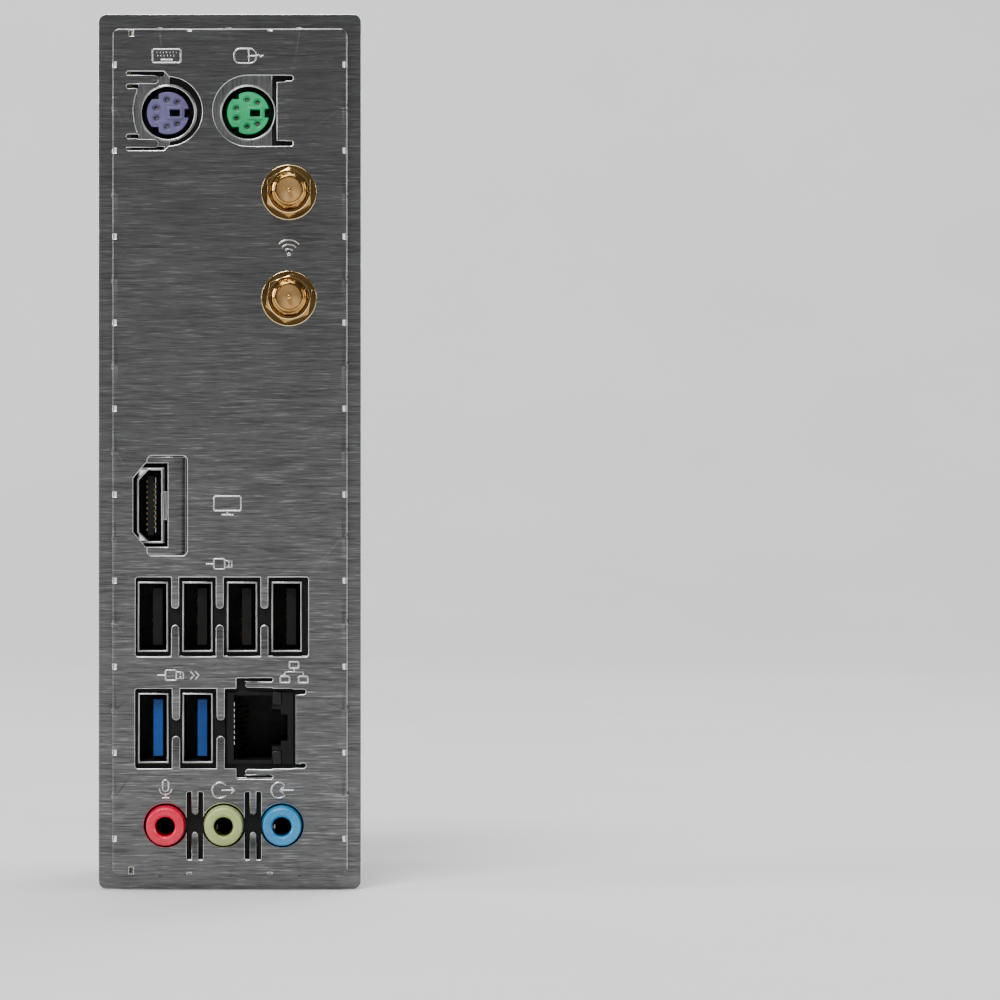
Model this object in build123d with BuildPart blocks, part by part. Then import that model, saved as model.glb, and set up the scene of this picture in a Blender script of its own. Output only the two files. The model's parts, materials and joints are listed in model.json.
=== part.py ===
"""Rear I/O panel of a desktop computer board: a brushed steel I/O shield over the connectors of
the board's rear edge, with a Wi-Fi card and its two antenna jacks behind it. Millimetres.

X runs away from the board's surface, Y runs into the chassis, Z runs up along the panel. The origin
is the centre of the chassis cut-out, on the plane where the shield's lip meets the chassis wall.
"""

import os

from build123d import *

os.makedirs("parts", exist_ok=True)

# ---------------------------------------------------------------- driving dimensions
CUTOUT_W, CUTOUT_H = 44.45, 158.75  # standard I/O cut-out
LIP_REACH = 2.5  # lip beyond the cut-out, inside the contact zone around it
SHEET = 0.3  # steel of the shield and of the connector shells
FACE_W, FACE_H = 43.7, 157.6  # raised face, which passes through the cut-out
FACE_Y = -2.6  # outer surface of the raised face
FACE_BACK = FACE_Y + SHEET
LIP_W, LIP_H = CUTOUT_W + 2 * LIP_REACH - 0.35, CUTOUT_H + 2 * LIP_REACH - 0.35
BOARD_TOP = -18.4  # component side of the board
BOARD_THICK = 1.6
BOARD_EDGE_Y, BOARD_BACK_Y = 1.6, 42.0
PIN_END = BOARD_TOP - BOARD_THICK - 1.4  # where the soldered tails end
FOOT_END = PIN_END + 0.4  # where the soldered feet of shells end
FRONT_Y = -1.5  # front plates of the connectors
RIM_Y = -2.35  # rims of the connector mouths
CONTACT_SHEET = 0.25  # contact springs

# centres of the connectors, X away from the board, Z up
PS2_X, PS2_Z = (-11.5, 3.45), 63.1
ANTENNA_X, ANTENNA_Z = 11.04, (48.2, 28.46)
VIDEO_X, VIDEO_Z = -14.8, -10.05
USB2_X, USB2_Z = tuple(-14.28 + 8.3 * i for i in range(4)), -30.74
USB3_X, LAN_Z = (-14.2, -5.96), -51.45
AUDIO_X, AUDIO_Z = (-11.9, -1.1, 9.7), -69.5
WIFI_Z = sum(ANTENNA_Z) / 2

board_holes = []  # (y, z, radius) of every soldered tail, filled as the connectors are made


# ---------------------------------------------------------------- helpers
def front(y):
    """Sketch plane that faces out of the chassis at depth y: its x is X and its y is Z."""
    return Plane(origin=(0, y, 0), x_dir=(1, 0, 0), z_dir=(0, -1, 0))


def brick(x0, x1, y0, y1, z0, z1):
    """Box between two corners, kept aside so that many can be added together."""
    with Locations(((x0 + x1) / 2, (y0 + y1) / 2, (z0 + z1) / 2)):
        return Box(x1 - x0, y1 - y0, z1 - z0, mode=Mode.PRIVATE)


def block(x0, x1, y0, y1, z0, z1, mode=Mode.ADD):
    """Box between two corners, added at once."""
    add(brick(x0, x1, y0, y1, z0, z1), mode=mode)


def rods(places, radius, y0, y1, mode=Mode.ADD):
    """Equal cylinders along Y, one at each (x, z)."""
    with BuildSketch(front(y1)) as circles:
        with Locations(*places):
            Circle(radius)
    extrude(circles.sketch, amount=y1 - y0, mode=mode)


def save(piece, name):
    """Labels a finished piece and writes it."""
    piece.part.label = name
    export_step(piece.part, f"parts/{name}.step")


def tail(x, y0, y_leg, z, width=0.4, thick=0.25):
    """Contact tail: back out of an insulator at height x, then down through the board."""
    half = width / 2
    board_holes.append((y_leg, z, max(0.4, half + 0.15)))
    return [
        brick(x - thick / 2, x + thick / 2, y0, y_leg + thick / 2, z - half, z + half),
        brick(PIN_END, x, y_leg - thick / 2, y_leg + thick / 2, z - half, z + half),
    ]


def foot(x_root, y, y_half, z, z_half):
    """Foot of a shell, from its wall down through the board."""
    return brick(FOOT_END, x_root, y - y_half, y + y_half, z - z_half, z + z_half)


def shell_box(x1, y1, z_mid, z_half, foot_y, open_front=False):
    """Sheet shell open at the back and towards the board, with four soldered feet."""
    x0 = BOARD_TOP + 0.2
    y0 = FRONT_Y - 1 if open_front else FRONT_Y + SHEET
    block(x0, x1, FRONT_Y, y1, z_mid - z_half, z_mid + z_half)
    block(x0 - 1, x1 - SHEET, y0, y1 + 1, z_mid - z_half + SHEET, z_mid + z_half - SHEET, Mode.SUBTRACT)
    feet = []
    for side in (-1, 1):
        z_wall = z_mid + side * (z_half - SHEET / 2)
        for y in foot_y:
            feet.append(foot(x0 + 0.5, y, 0.7, z_wall, SHEET / 2))
            board_holes.append((y, z_wall, 0.85))
    add(feet)


# ---------------------------------------------------------------- I/O shield
FINGER_DIP = 0.62  # how far a grounding finger's tip is pressed in, to rest on a connector's front plate
AUDIO_DIP = 0.85


def finger(x, z, direction, length, width, flat, dip=FINGER_DIP):
    """Bent grounding finger of the shield: its root at (x, z) on the face, its round tip along direction."""
    along = Vector(*direction)
    across = along.cross(Vector(0, 1, 0))
    overlap = 0.3
    with BuildPart() as strip:
        with BuildSketch(Plane(origin=(x, FACE_Y, z), x_dir=along, z_dir=across)):
            with BuildLine():
                Polyline(
                    (-overlap, 0),
                    (flat, 0),
                    (length, dip),
                    (length, dip + SHEET),
                    (flat, SHEET),
                    (-overlap, SHEET),
                    close=True,
                )
            make_face()
        extrude(amount=width / 2, both=True)
        with BuildSketch(Plane(origin=(x, FACE_Y - 1, z), x_dir=along, z_dir=(0, 1, 0))):
            with BuildLine():
                half = width / 2
                tip = length - half
                Polyline((tip, half), (-overlap, half), (-overlap, -half), (tip, -half))
                ThreePointArc((tip, -half), (length, 0), (tip, half))
            make_face()
        extrude(amount=4, mode=Mode.INTERSECT)
    return strip.part


USB2_OPEN = (-17.5, 14.65, -38.15, -23.35)  # x0, x1, z0, z1
USB3_OPEN = (-17.6, 12.0, -58.95, -44.1)
USB_FINGER_W = 1.45
AUDIO_SLOT_W, AUDIO_SLOT_Z = 3.06, (-75.95, -63.3)
AUDIO_HOLE_R = 4.1
FLAP = (-15.4, -7.9, -19.35, -0.75)  # the sprung flap around the video connector
FLAP_GAP = 0.22
VIDEO_OPEN = (
    (-17.95, -14.95),
    (-17.95, -4.95),
    (-15.6, -2.15),
    (-11.5, -2.15),
    (-11.5, -17.75),
    (-15.6, -17.75),
)

fingers = []
for i in range(3):
    gap_x = (USB2_X[i] + USB2_X[i + 1]) / 2
    fingers.append(finger(gap_x, USB2_OPEN[3], (0, 0, -1), 5.9, USB_FINGER_W, 2.0, 0.4))
    fingers.append(finger(gap_x, USB2_OPEN[2], (0, 0, 1), 5.9, USB_FINGER_W, 2.0, 0.4))
for gap_x in (sum(USB3_X) / 2 + 0.1, -1.66):
    fingers.append(finger(gap_x, USB3_OPEN[3], (0, 0, -1), 5.9, 1.5, 2.0, 0.4))
    fingers.append(finger(gap_x, USB3_OPEN[2], (0, 0, 1), 6.0, 1.5, 2.0, 0.4))
AUDIO_GAPS = tuple((AUDIO_X[i] + AUDIO_X[i + 1]) / 2 + 0.05 for i in range(2))
for gap_x in AUDIO_GAPS:
    fingers.append(finger(gap_x, AUDIO_SLOT_Z[1], (0, 0, -1), 4.35, 1.25, 2.6, AUDIO_DIP))
    fingers.append(finger(gap_x, AUDIO_SLOT_Z[0], (0, 0, 1), 5.1, 1.25, 3.0, AUDIO_DIP))
PS2_FINGER_Z = (PS2_Z + 6.15, PS2_Z - 5.75)
for finger_z in PS2_FINGER_Z:
    fingers.append(finger(-19.1, finger_z, (1, 0, 0), 5.9, 1.6, 2.0))
LAN_FINGER_Z = (-43.4, -59.65)
for finger_z in LAN_FINGER_Z:
    fingers.append(finger(8.1, finger_z, (-1, 0, 0), 5.2, 1.1, 1.2))


def wide_tab(x, x_tip, z0, z1, dip):
    """Wide grounding tab, its root on the right at x, pressed in towards x_tip."""
    with BuildPart() as tab:
        with BuildSketch(Plane.XY.offset(z0)):
            with BuildLine():
                Polyline(
                    (x + 0.3, FACE_Y),
                    (x, FACE_Y),
                    (x_tip, FACE_Y + dip),
                    (x_tip, FACE_Y + dip + SHEET),
                    (x, FACE_BACK),
                    (x + 0.3, FACE_BACK),
                    close=True,
                )
            make_face()
        extrude(amount=z1 - z0)
    return tab.part


MOUSE_TAB = wide_tab(10.4, 8.75, PS2_Z - 5.25, PS2_Z + 5.75, FINGER_DIP)
LAN_TAB = wide_tab(12.9, 12.25, -58.15, -45.2, 0.45)

with BuildPart() as video_flap:  # flush where it joins the face, curled in at its free end
    with BuildSketch(Plane.XY.offset(FLAP[2] + FLAP_GAP)):
        with BuildLine():
            Polyline((FLAP[0] - 0.3, FACE_BACK), (FLAP[0] - 0.3, FACE_Y), (-11.6, FACE_Y + 0.12))
            ThreePointArc((-11.6, FACE_Y + 0.12), (-9.6, FACE_Y + 0.42), (-8.15, FACE_Y + 1.25))
            Line((-8.15, FACE_Y + 1.25), (-8.35, FACE_Y + 1.5))
            ThreePointArc((-8.35, FACE_Y + 1.5), (-9.75, FACE_Y + 0.7), (-11.6, FACE_BACK + 0.12))
            Line((-11.6, FACE_BACK + 0.12), (FLAP[0] - 0.3, FACE_BACK))
        make_face()
    extrude(amount=FLAP[3] - FLAP[2] - 2 * FLAP_GAP)
    with BuildSketch(front(0)):
        with BuildLine():
            Polyline(*VIDEO_OPEN, close=True)
        make_face()
    extrude(amount=5, mode=Mode.SUBTRACT)

WALL_SLOTS = tuple(-72 + 16 * i for i in range(10))
with BuildPart() as io_shield:
    with BuildSketch(front(SHEET)):
        RectangleRounded(LIP_W, LIP_H, 1.5)
    extrude(amount=SHEET)
    with BuildSketch(front(SHEET)):
        RectangleRounded(FACE_W, FACE_H, 1.2)
    extrude(amount=SHEET - FACE_Y)
    fillet(io_shield.edges().group_by(Axis.Y)[0], 0.45)
    with BuildSketch(front(SHEET)):
        RectangleRounded(FACE_W - 2 * SHEET, FACE_H - 2 * SHEET, 0.9)
    extrude(amount=SHEET - FACE_BACK, mode=Mode.SUBTRACT)
    # openings in the face
    with BuildSketch(front(FACE_BACK + 0.1)):
        with Locations((PS2_X[0], PS2_Z + 0.2)):
            Circle(6.42)
        with BuildLine():
            Polyline(
                (-17.15, PS2_Z - 3.7),
                (-17.15, PS2_Z - 7.05),
                (-12.2, PS2_Z - 7.05),
                (-11.3, PS2_Z - 6.15),
                (-11.3, PS2_Z + 6.6),
                (-12.2, PS2_Z + 7.65),
                (-17.15, PS2_Z + 7.65),
                (-17.15, PS2_Z + 4.1),
            )
            ThreePointArc((-17.15, PS2_Z + 4.1), (-17.9, PS2_Z + 0.2), (-17.15, PS2_Z - 3.7))
        make_face()
        for slit_z in (PS2_Z + 7.27, PS2_Z + 4.87, PS2_Z - 4.45, PS2_Z - 6.67):
            with Locations((-16.0, slit_z)):
                SlotOverall(6.4, 0.76)
        with Locations((PS2_X[1], PS2_Z + 0.3)):
            Circle(6.58)
        with Locations(((PS2_X[1] + 10.4) / 2, PS2_Z + 0.3)):
            Rectangle(10.4 - PS2_X[1], 13.16)
        for slit_z in (PS2_Z + 6.38, PS2_Z - 5.78):
            with Locations((9.9, slit_z)):
                SlotOverall(3.9, 0.9)
        for z in ANTENNA_Z:
            with Locations((ANTENNA_X, z)):
                Circle(3.3)
        with BuildLine():
            Polyline(*VIDEO_OPEN, close=True)
        make_face()
        with Locations(((FLAP[0] + FLAP[1]) / 2, (FLAP[2] + FLAP[3]) / 2)):
            RectangleRounded(FLAP[1] - FLAP[0], FLAP[3] - FLAP[2], 0.9)
        for x0, x1, z0, z1 in (USB2_OPEN, USB3_OPEN):
            with Locations(((x0 + x1) / 2, (z0 + z1) / 2)):
                RectangleRounded(x1 - x0, z1 - z0, 0.5)
        for slit_z, notch_z in ((-42.45, -43.5), (-60.55, -59.5)):
            with Locations((4.65, slit_z)):
                SlotOverall(6.8, 0.7)
            with Locations((2.0, notch_z)):
                Rectangle(1.5, 2.5)
            with Locations((4.9, notch_z)):
                Rectangle(6.2, 1.3)
        for slit_z in (-44.68, -58.42):
            with Locations((12.6, slit_z)):
                SlotOverall(3.2, 0.9)
        with Locations((12.3, (USB3_OPEN[2] + USB3_OPEN[3]) / 2)):
            Rectangle(1.2, 13.2)
        for x in AUDIO_X:
            with Locations((x, AUDIO_Z)):
                Circle(AUDIO_HOLE_R)
        for gap_x in AUDIO_GAPS:
            with Locations((gap_x, sum(AUDIO_SLOT_Z) / 2)):
                RectangleRounded(AUDIO_SLOT_W, AUDIO_SLOT_Z[1] - AUDIO_SLOT_Z[0], 0.35)
    extrude(amount=1, mode=Mode.SUBTRACT)
    # slits that free the spring edges of the raised face
    slits = []
    for side in (-1, 1):
        wall, end = side * FACE_W / 2, side * FACE_H / 2
        for z in WALL_SLOTS:
            slits.append(brick(wall - 0.75, wall + 0.75, FACE_Y - 0.2, -0.2, z - 0.45, z + 0.45))
        for x, reach in ((-18.3, 1.5), (-7.5, 0.5), (7.5, 0.5)):
            slits.append(brick(x - 0.4, x + 0.4, FACE_Y - 0.2, -0.2, end - reach, end + reach))
    add(slits, mode=Mode.SUBTRACT)
    add([*fingers, MOUSE_TAB, LAN_TAB, video_flap.part])
    # dimples that snap in front of the chassis wall
    sides = [(side * (FACE_W / 2 - 0.75), -1.55, z + 8) for side in (-1, 1) for z in WALL_SLOTS[:-1]]
    ends = [(x, -1.55, side * (FACE_H / 2 - 0.75)) for side in (-1, 1) for x in (-13, 0, 13)]
    with Locations(*sides, *ends):
        Sphere(1.1)
    with BuildSketch(front(SHEET)):  # the back of each dimple stays hollow
        RectangleRounded(FACE_W - 2 * SHEET, FACE_H - 2 * SHEET, 0.9)
    extrude(amount=SHEET + 0.4, mode=Mode.SUBTRACT)
save(io_shield, "io_shield")

# ---------------------------------------------------------------- keyboard and mouse sockets
PS2_HALF, PS2_BACK = 8.1, 12.5
PS2_TOP = PS2_X[1] + 8.6
PS2_RING_R, PS2_INSERT_R, PS2_PIN_HOLE_R = 4.9, 3.95, 0.42
PS2_COLLAR, PS2_COLLAR_Y = 0.25, FRONT_Y - 0.12  # rolled collar around each mouth
PS2_PINS = ((-2.16, 0.95), (-0.17, 2.5), (1.74, 2.0))  # from the insert's centre, above and below
PS2_LEAD_R, PS2_LEAD_DEPTH = 0.72, 0.3  # wide lead-in of each pin hole
PS2_FACE_Y = -1.25  # front of the inserts
ps2_places = [(x, PS2_Z) for x in PS2_X]
FIT = 0.05  # gap between a housing and the sheet around it

with BuildPart() as ps2_shell:
    shell_box(PS2_TOP, PS2_BACK, PS2_Z, PS2_HALF, (6.4, 10.2))
    windows = [  # (x0, x1, z0, z1) where the front plate is cut away and the black housing shows
        (7.9, PS2_TOP - SHEET, PS2_Z - 6.6, PS2_Z + 7.1),
        (-19, -12.2, PS2_Z + 6.85, PS2_Z + 7.7),
        (-19, -17.0, PS2_Z + 4.4, PS2_Z + 5.3),
        (-19, -17.0, PS2_Z - 4.9, PS2_Z - 4.0),
        (-19, -12.2, PS2_Z - 7.1, PS2_Z - 6.3),
    ]
    for x0, x1, z0, z1 in windows:
        block(x0, x1, FRONT_Y - 1, FRONT_Y + SHEET, z0, z1, Mode.SUBTRACT)
    with BuildSketch(front(FRONT_Y + SHEET)):  # crescent beside the keyboard socket
        with Locations((PS2_X[0], PS2_Z)):
            Circle(6.8)
            Circle(5.4, mode=Mode.SUBTRACT)
        with Locations((PS2_X[0] - 10, PS2_Z)):
            Rectangle(20.6, 20, mode=Mode.SUBTRACT)
    extrude(amount=SHEET, mode=Mode.SUBTRACT)
    rods(ps2_places, PS2_RING_R + PS2_COLLAR, PS2_COLLAR_Y, FRONT_Y + 0.1)
    rods(ps2_places, PS2_RING_R, RIM_Y, 0, Mode.SUBTRACT)
save(ps2_shell, "ps2_shell")

with BuildPart() as ps2_housing:
    z_half = PS2_HALF - SHEET - FIT
    block(
        BOARD_TOP, PS2_TOP - SHEET - FIT, FRONT_Y + SHEET + FIT, PS2_BACK, PS2_Z - z_half, PS2_Z + z_half
    )
    rods(ps2_places, PS2_RING_R - 0.05, RIM_Y, 9.0, Mode.SUBTRACT)
    for x, z in ps2_places:
        block(x - 2.9, x + 2.9, 8.5, PS2_BACK + 1, z - 3.1, z + 3.1, Mode.SUBTRACT)
save(ps2_housing, "ps2_housing")


def ps2_insert(x):
    """Coloured insert of one socket, keyed by a notch, two steps and a square key hole in a raised rim."""
    z = PS2_Z
    rods([(x, z)], PS2_INSERT_R, PS2_FACE_Y, 8.9)
    block(x - 0.15, x + 2.75, PS2_FACE_Y - 0.22, PS2_FACE_Y + 0.1, z - 1.1, z + 1.1)
    rods([(x, z)], PS2_RING_R - 0.1, 7.4, 8.9)
    block(x - 2.85, x + 2.85, 8.8, PS2_BACK - 0.1, z - 3.05, z + 3.05)
    cuts = [
        brick(x + 3.07, x + 5, -3, 7.4, z - 0.83, z + 0.83),
        brick(x - 5, x - 1.74, -3, 7.4, z + 2.57, z + 5),
        brick(x - 5, x - 1.74, -3, 7.4, z - 5, z - 2.57),
        brick(x + 0.33, x + 2.24, -3, 5.5, z - 0.67, z + 0.67),
    ]
    add(cuts, mode=Mode.SUBTRACT)
    pin_places = [(x + dx, z + side * dz) for dx, dz in PS2_PINS for side in (-1, 1)]
    rods(pin_places, PS2_PIN_HOLE_R, -3, 14, Mode.SUBTRACT)
    rods(pin_places, PS2_LEAD_R, -3, PS2_FACE_Y + PS2_LEAD_DEPTH, Mode.SUBTRACT)


with BuildPart() as ps2_keyboard_insert:
    ps2_insert(PS2_X[0])
save(ps2_keyboard_insert, "ps2_keyboard_insert")

with BuildPart() as ps2_mouse_insert:
    ps2_insert(PS2_X[1])
save(ps2_mouse_insert, "ps2_mouse_insert")

with BuildPart() as ps2_contacts:
    places, tails = [], []
    for i, x in enumerate(PS2_X):
        for j, (dx, dz) in enumerate(PS2_PINS):
            for side in (-1, 1):
                places.append((x + dx, PS2_Z + side * dz))
                y_leg = PS2_BACK + 0.8 + 1.25 * (3 * i + j)
                tails += tail(x + dx, PS2_BACK, y_leg, PS2_Z + side * dz)
    rods(places, 0.33, 1.2, PS2_BACK + 0.3)
    add(tails)
save(ps2_contacts, "ps2_contacts")

# ---------------------------------------------------------------- antenna jacks
THREAD_R, THREAD_ROOT_R, THREAD_PITCH = 3.175, 2.8, 25.4 / 36
JACK_TIP_Y, THREAD_END_Y = -9.9, -2.0
RELIEF_TURN = 6  # the thread is relieved under the nut's outer edge
BRACKET_Y, BRACKET_SHEET = -1.1, 0.6
NUT_FLATS, NUT_THICK, NUT_BORE_R = 8.0, 2.0, THREAD_R + 0.05
WASHER_R, WASHER_THICK, SEAT_GAP = 5.15, 0.5, 0.05
DIELECTRIC_R, PIN_R = 2.25, 0.46
NECK_Y, NECK_BORE_R = -4.0, 1.25  # where the insulator narrows inside the barrel
FLANGE_R, FLANGE_THICK = 4.3, 1.2


def revolved(points, z):
    """Ring or rod around one jack's axis from its (radius, y) outline."""
    with BuildSketch(Plane(origin=(ANTENNA_X, 0, z), x_dir=(1, 0, 0), z_dir=(0, 0, 1))) as half:
        with BuildLine():
            Polyline(*points, close=True)
        make_face()
    revolve(half.sketch, axis=Axis((ANTENNA_X, 0, z), (0, 1, 0)))


def jack_barrel(z):
    """Threaded barrel with the flange and solder neck behind the bracket."""
    outline = [(DIELECTRIC_R, JACK_TIP_Y), (2.65, JACK_TIP_Y), (THREAD_ROOT_R, JACK_TIP_Y + 0.15)]
    turns = int((THREAD_END_Y - JACK_TIP_Y - 0.3) / THREAD_PITCH)
    for turn in range(turns):
        if turn == RELIEF_TURN:
            continue
        y = JACK_TIP_Y + 0.3 + turn * THREAD_PITCH
        outline += [(THREAD_ROOT_R, y), (THREAD_R, y + 0.2), (THREAD_R, y + 0.42), (THREAD_ROOT_R, y + 0.62)]
    flange_y = BRACKET_Y + BRACKET_SHEET
    flange_back = flange_y + FLANGE_THICK
    outline += [(THREAD_ROOT_R, flange_y), (FLANGE_R, flange_y), (FLANGE_R, flange_back)]
    outline += [(2.3, flange_back), (2.3, 3.0), (1.1, 3.0), (1.1, 5.4), (0.75, 5.4), (0.75, 2.6)]
    outline += [(NECK_BORE_R, 2.6), (NECK_BORE_R, NECK_Y), (DIELECTRIC_R, NECK_Y)]
    revolved(outline, z)


for name, z in zip(("antenna_jack_upper", "antenna_jack_lower"), ANTENNA_Z):
    with BuildPart() as antenna_jack:
        jack_barrel(z)
    save(antenna_jack, name)

with BuildPart() as antenna_insulators:
    for z in ANTENNA_Z:
        profile = [(PIN_R, -8.3), (DIELECTRIC_R, -8.3), (DIELECTRIC_R, NECK_Y)]
        profile += [(NECK_BORE_R, NECK_Y), (NECK_BORE_R, 2.6), (PIN_R, 2.6)]
        revolved(profile, z)
save(antenna_insulators, "antenna_insulators")

with BuildPart() as antenna_pins:
    places = [(ANTENNA_X, z) for z in ANTENNA_Z]
    rods(places, PIN_R, -9.2, 3.4)
    fillet(antenna_pins.edges().group_by(Axis.Y)[0], 0.3)
save(antenna_pins, "antenna_pins")

WASHER_Y = FACE_Y - SEAT_GAP - WASHER_THICK
NUT_Y = WASHER_Y - SEAT_GAP - NUT_THICK
for name, z, turn in (("antenna_nut_upper", ANTENNA_Z[0], 0), ("antenna_nut_lower", ANTENNA_Z[1], -10)):
    with BuildPart() as antenna_nut:
        with BuildSketch(front(NUT_Y + NUT_THICK)):
            with Locations(Location((ANTENNA_X, z), 30 + turn)):
                RegularPolygon(NUT_FLATS / 2, 6, major_radius=False)
        extrude(amount=NUT_THICK)
        rods([(ANTENNA_X, z)], NUT_BORE_R, NUT_Y - 1, NUT_Y + NUT_THICK + 1, Mode.SUBTRACT)
        chamfer(antenna_nut.edges().filter_by(GeomType.CIRCLE).sort_by(Axis.Y)[0], 0.25)
        with BuildSketch(Plane(origin=(ANTENNA_X, 0, z), x_dir=(1, 0, 0), z_dir=(0, 0, 1))):
            with BuildLine():  # cone that rounds the six corners of the outer face
                corner = NUT_FLATS / 2 / 0.866
                Polyline((3.9, NUT_Y), (corner + 0.1, NUT_Y + 0.45), (corner + 0.1, NUT_Y), close=True)
            make_face()
        revolve(axis=Axis((ANTENNA_X, 0, z), (0, 1, 0)), mode=Mode.SUBTRACT)
    save(antenna_nut, name)

for name, z in zip(("antenna_washer_upper", "antenna_washer_lower"), ANTENNA_Z):
    with BuildPart() as antenna_washer:
        rods([(ANTENNA_X, z)], WASHER_R, WASHER_Y, WASHER_Y + WASHER_THICK)
        fillet(antenna_washer.edges().group_by(Axis.Y)[0], 0.12)
        rods([(ANTENNA_X, z)], NUT_BORE_R, WASHER_Y - 1, WASHER_Y + WASHER_THICK + 1, Mode.SUBTRACT)
    save(antenna_washer, name)

# ---------------------------------------------------------------- Wi-Fi card, its socket and its bracket
CARD_LENGTH, CARD_WIDTH, CARD_THICK, CARD_Y = 30.0, 22.0, 0.8, 9.6
CARD_FOOT_X = BOARD_TOP + 1.9
CARD_END_X = CARD_FOOT_X + CARD_LENGTH
BRACKET_HALF, BRACKET_TOP, BRACKET_BACK = 16.0, 16.4, 15.0
SOCKET_TOP, SOCKET_HALF = BOARD_TOP + 5.2, 11.6
CARD_KEY_Z = 6.6  # key of the socket, from the card's middle
SOCKET_PINS, SOCKET_PITCH = 31, 0.68
SOCKET_Y = (CARD_Y - 2.6, CARD_Y + CARD_THICK + 2.0)

with BuildPart() as wifi_bracket:
    inner = BRACKET_HALF - BRACKET_SHEET
    block(BOARD_TOP + 0.2, BRACKET_TOP, BRACKET_Y, BRACKET_BACK, WIFI_Z - BRACKET_HALF, WIFI_Z + BRACKET_HALF)
    block(
        BOARD_TOP - 1,
        BRACKET_TOP - BRACKET_SHEET,
        BRACKET_Y + BRACKET_SHEET,
        BRACKET_BACK + 1,
        WIFI_Z - inner,
        WIFI_Z + inner,
        Mode.SUBTRACT,
    )
    feet = []
    for side in (-1, 1):
        z_wall = WIFI_Z + side * (BRACKET_HALF - BRACKET_SHEET / 2)
        for y in (4.0, 12.5):
            feet.append(foot(BOARD_TOP + 1, y, 0.8, z_wall, BRACKET_SHEET / 2))
            board_holes.append((y, z_wall, 1.0))
    add(feet)
    rods([(ANTENNA_X, z) for z in ANTENNA_Z], THREAD_R + 0.1, BRACKET_Y - 1, BRACKET_Y + 2, Mode.SUBTRACT)
    with BuildSketch(Plane(origin=(0, 8.2, 0), x_dir=(1, 0, 0), z_dir=(0, 0, 1)).offset(WIFI_Z - 20)):
        with Locations((-8, 0), (4, 0)):
            SlotOverall(7, 3)  # vents in both side walls
    extrude(amount=40, mode=Mode.SUBTRACT)
save(wifi_bracket, "wifi_bracket")

with BuildPart() as wifi_card_board:
    with BuildSketch(front(CARD_Y + CARD_THICK)):
        with Locations(((CARD_FOOT_X + CARD_END_X) / 2, WIFI_Z)):
            RectangleRounded(CARD_LENGTH, CARD_WIDTH, 0.5)
        with Locations((CARD_END_X, WIFI_Z)):
            Circle(1.75, mode=Mode.SUBTRACT)
        with Locations((CARD_FOOT_X, WIFI_Z + CARD_KEY_Z)):
            SlotOverall(7, 1.2, mode=Mode.SUBTRACT)  # key notch
    extrude(amount=CARD_THICK)
save(wifi_card_board, "wifi_card_board")

with BuildPart() as wifi_card_can:
    with BuildSketch(front(CARD_Y + CARD_THICK + 1.6)):
        with Locations((-2.6, WIFI_Z)):
            RectangleRounded(18.5, 18, 0.6)
    extrude(amount=1.6)
    fillet(wifi_card_can.edges().group_by(Axis.Y)[-1], 0.3)
save(wifi_card_can, "wifi_card_can")

CARD_SOCKETS = [(CARD_END_X - 3.0, WIFI_Z + side * 7.5) for side in (-1, 1)]
with BuildPart() as wifi_card_sockets:
    card_back = CARD_Y + CARD_THICK
    with Locations(*[(x, card_back + 0.15, z) for x, z in CARD_SOCKETS]):
        Box(2.6, 0.3, 2.6)
    rods(CARD_SOCKETS, 1.0, card_back + 0.3, card_back + 1.25)
    rods(CARD_SOCKETS, 0.78, card_back + 0.3, card_back + 2, Mode.SUBTRACT)
    rods(CARD_SOCKETS, 0.25, card_back + 0.2, card_back + 1.1)
save(wifi_card_sockets, "wifi_card_sockets")

with BuildPart() as wifi_socket:
    block(BOARD_TOP, SOCKET_TOP, SOCKET_Y[0], SOCKET_Y[1], WIFI_Z - SOCKET_HALF, WIFI_Z + SOCKET_HALF)
    chamfer(wifi_socket.edges().filter_by(Axis.Z).group_by(Axis.X)[-1], 0.5)
    slot_half = CARD_WIDTH / 2 + 0.05
    block(
        CARD_FOOT_X - 0.05,
        SOCKET_TOP + 1,
        CARD_Y - 0.05,
        CARD_Y + CARD_THICK + 0.05,
        WIFI_Z - slot_half,
        WIFI_Z + slot_half,
        Mode.SUBTRACT,
    )
    key_z = WIFI_Z + CARD_KEY_Z
    block(CARD_FOOT_X - 0.1, SOCKET_TOP, CARD_Y, CARD_Y + CARD_THICK, key_z - 0.3, key_z + 0.3)
save(wifi_socket, "wifi_socket")

with BuildPart() as wifi_socket_contacts:
    for y, shift in ((SOCKET_Y[0] - 0.6, 0), (SOCKET_Y[1] + 0.6, 0.25)):
        with Locations((BOARD_TOP + 0.1, y, WIFI_Z + shift)):
            with Locations(*[(0, 0, (i - SOCKET_PINS // 2) * SOCKET_PITCH) for i in range(SOCKET_PINS)]):
                Box(0.2, 1.2, 0.28)
save(wifi_socket_contacts, "wifi_socket_contacts")

with BuildPart() as wifi_standoff:
    with BuildSketch(front(CARD_Y)):
        with Locations((CARD_END_X, WIFI_Z)):
            RegularPolygon(2.0, 6, major_radius=False)
            Circle(0.95, mode=Mode.SUBTRACT)
    extrude(amount=CARD_Y - BRACKET_Y - BRACKET_SHEET)
save(wifi_standoff, "wifi_standoff")

with BuildPart() as wifi_card_screw:
    place = [(CARD_END_X, WIFI_Z)]
    rods(place, 0.9, CARD_Y - 3, CARD_Y + CARD_THICK + 0.1)
    rods(place, 2.2, CARD_Y + CARD_THICK, CARD_Y + CARD_THICK + 1.1)
    fillet(wifi_card_screw.edges().group_by(Axis.Y)[-1], 0.3)
    with Locations((CARD_END_X, CARD_Y + CARD_THICK + 1.0, WIFI_Z)):
        Box(2.2, 0.8, 0.45, mode=Mode.SUBTRACT)
        Box(0.45, 0.8, 2.2, mode=Mode.SUBTRACT)
save(wifi_card_screw, "wifi_card_screw")

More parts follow.
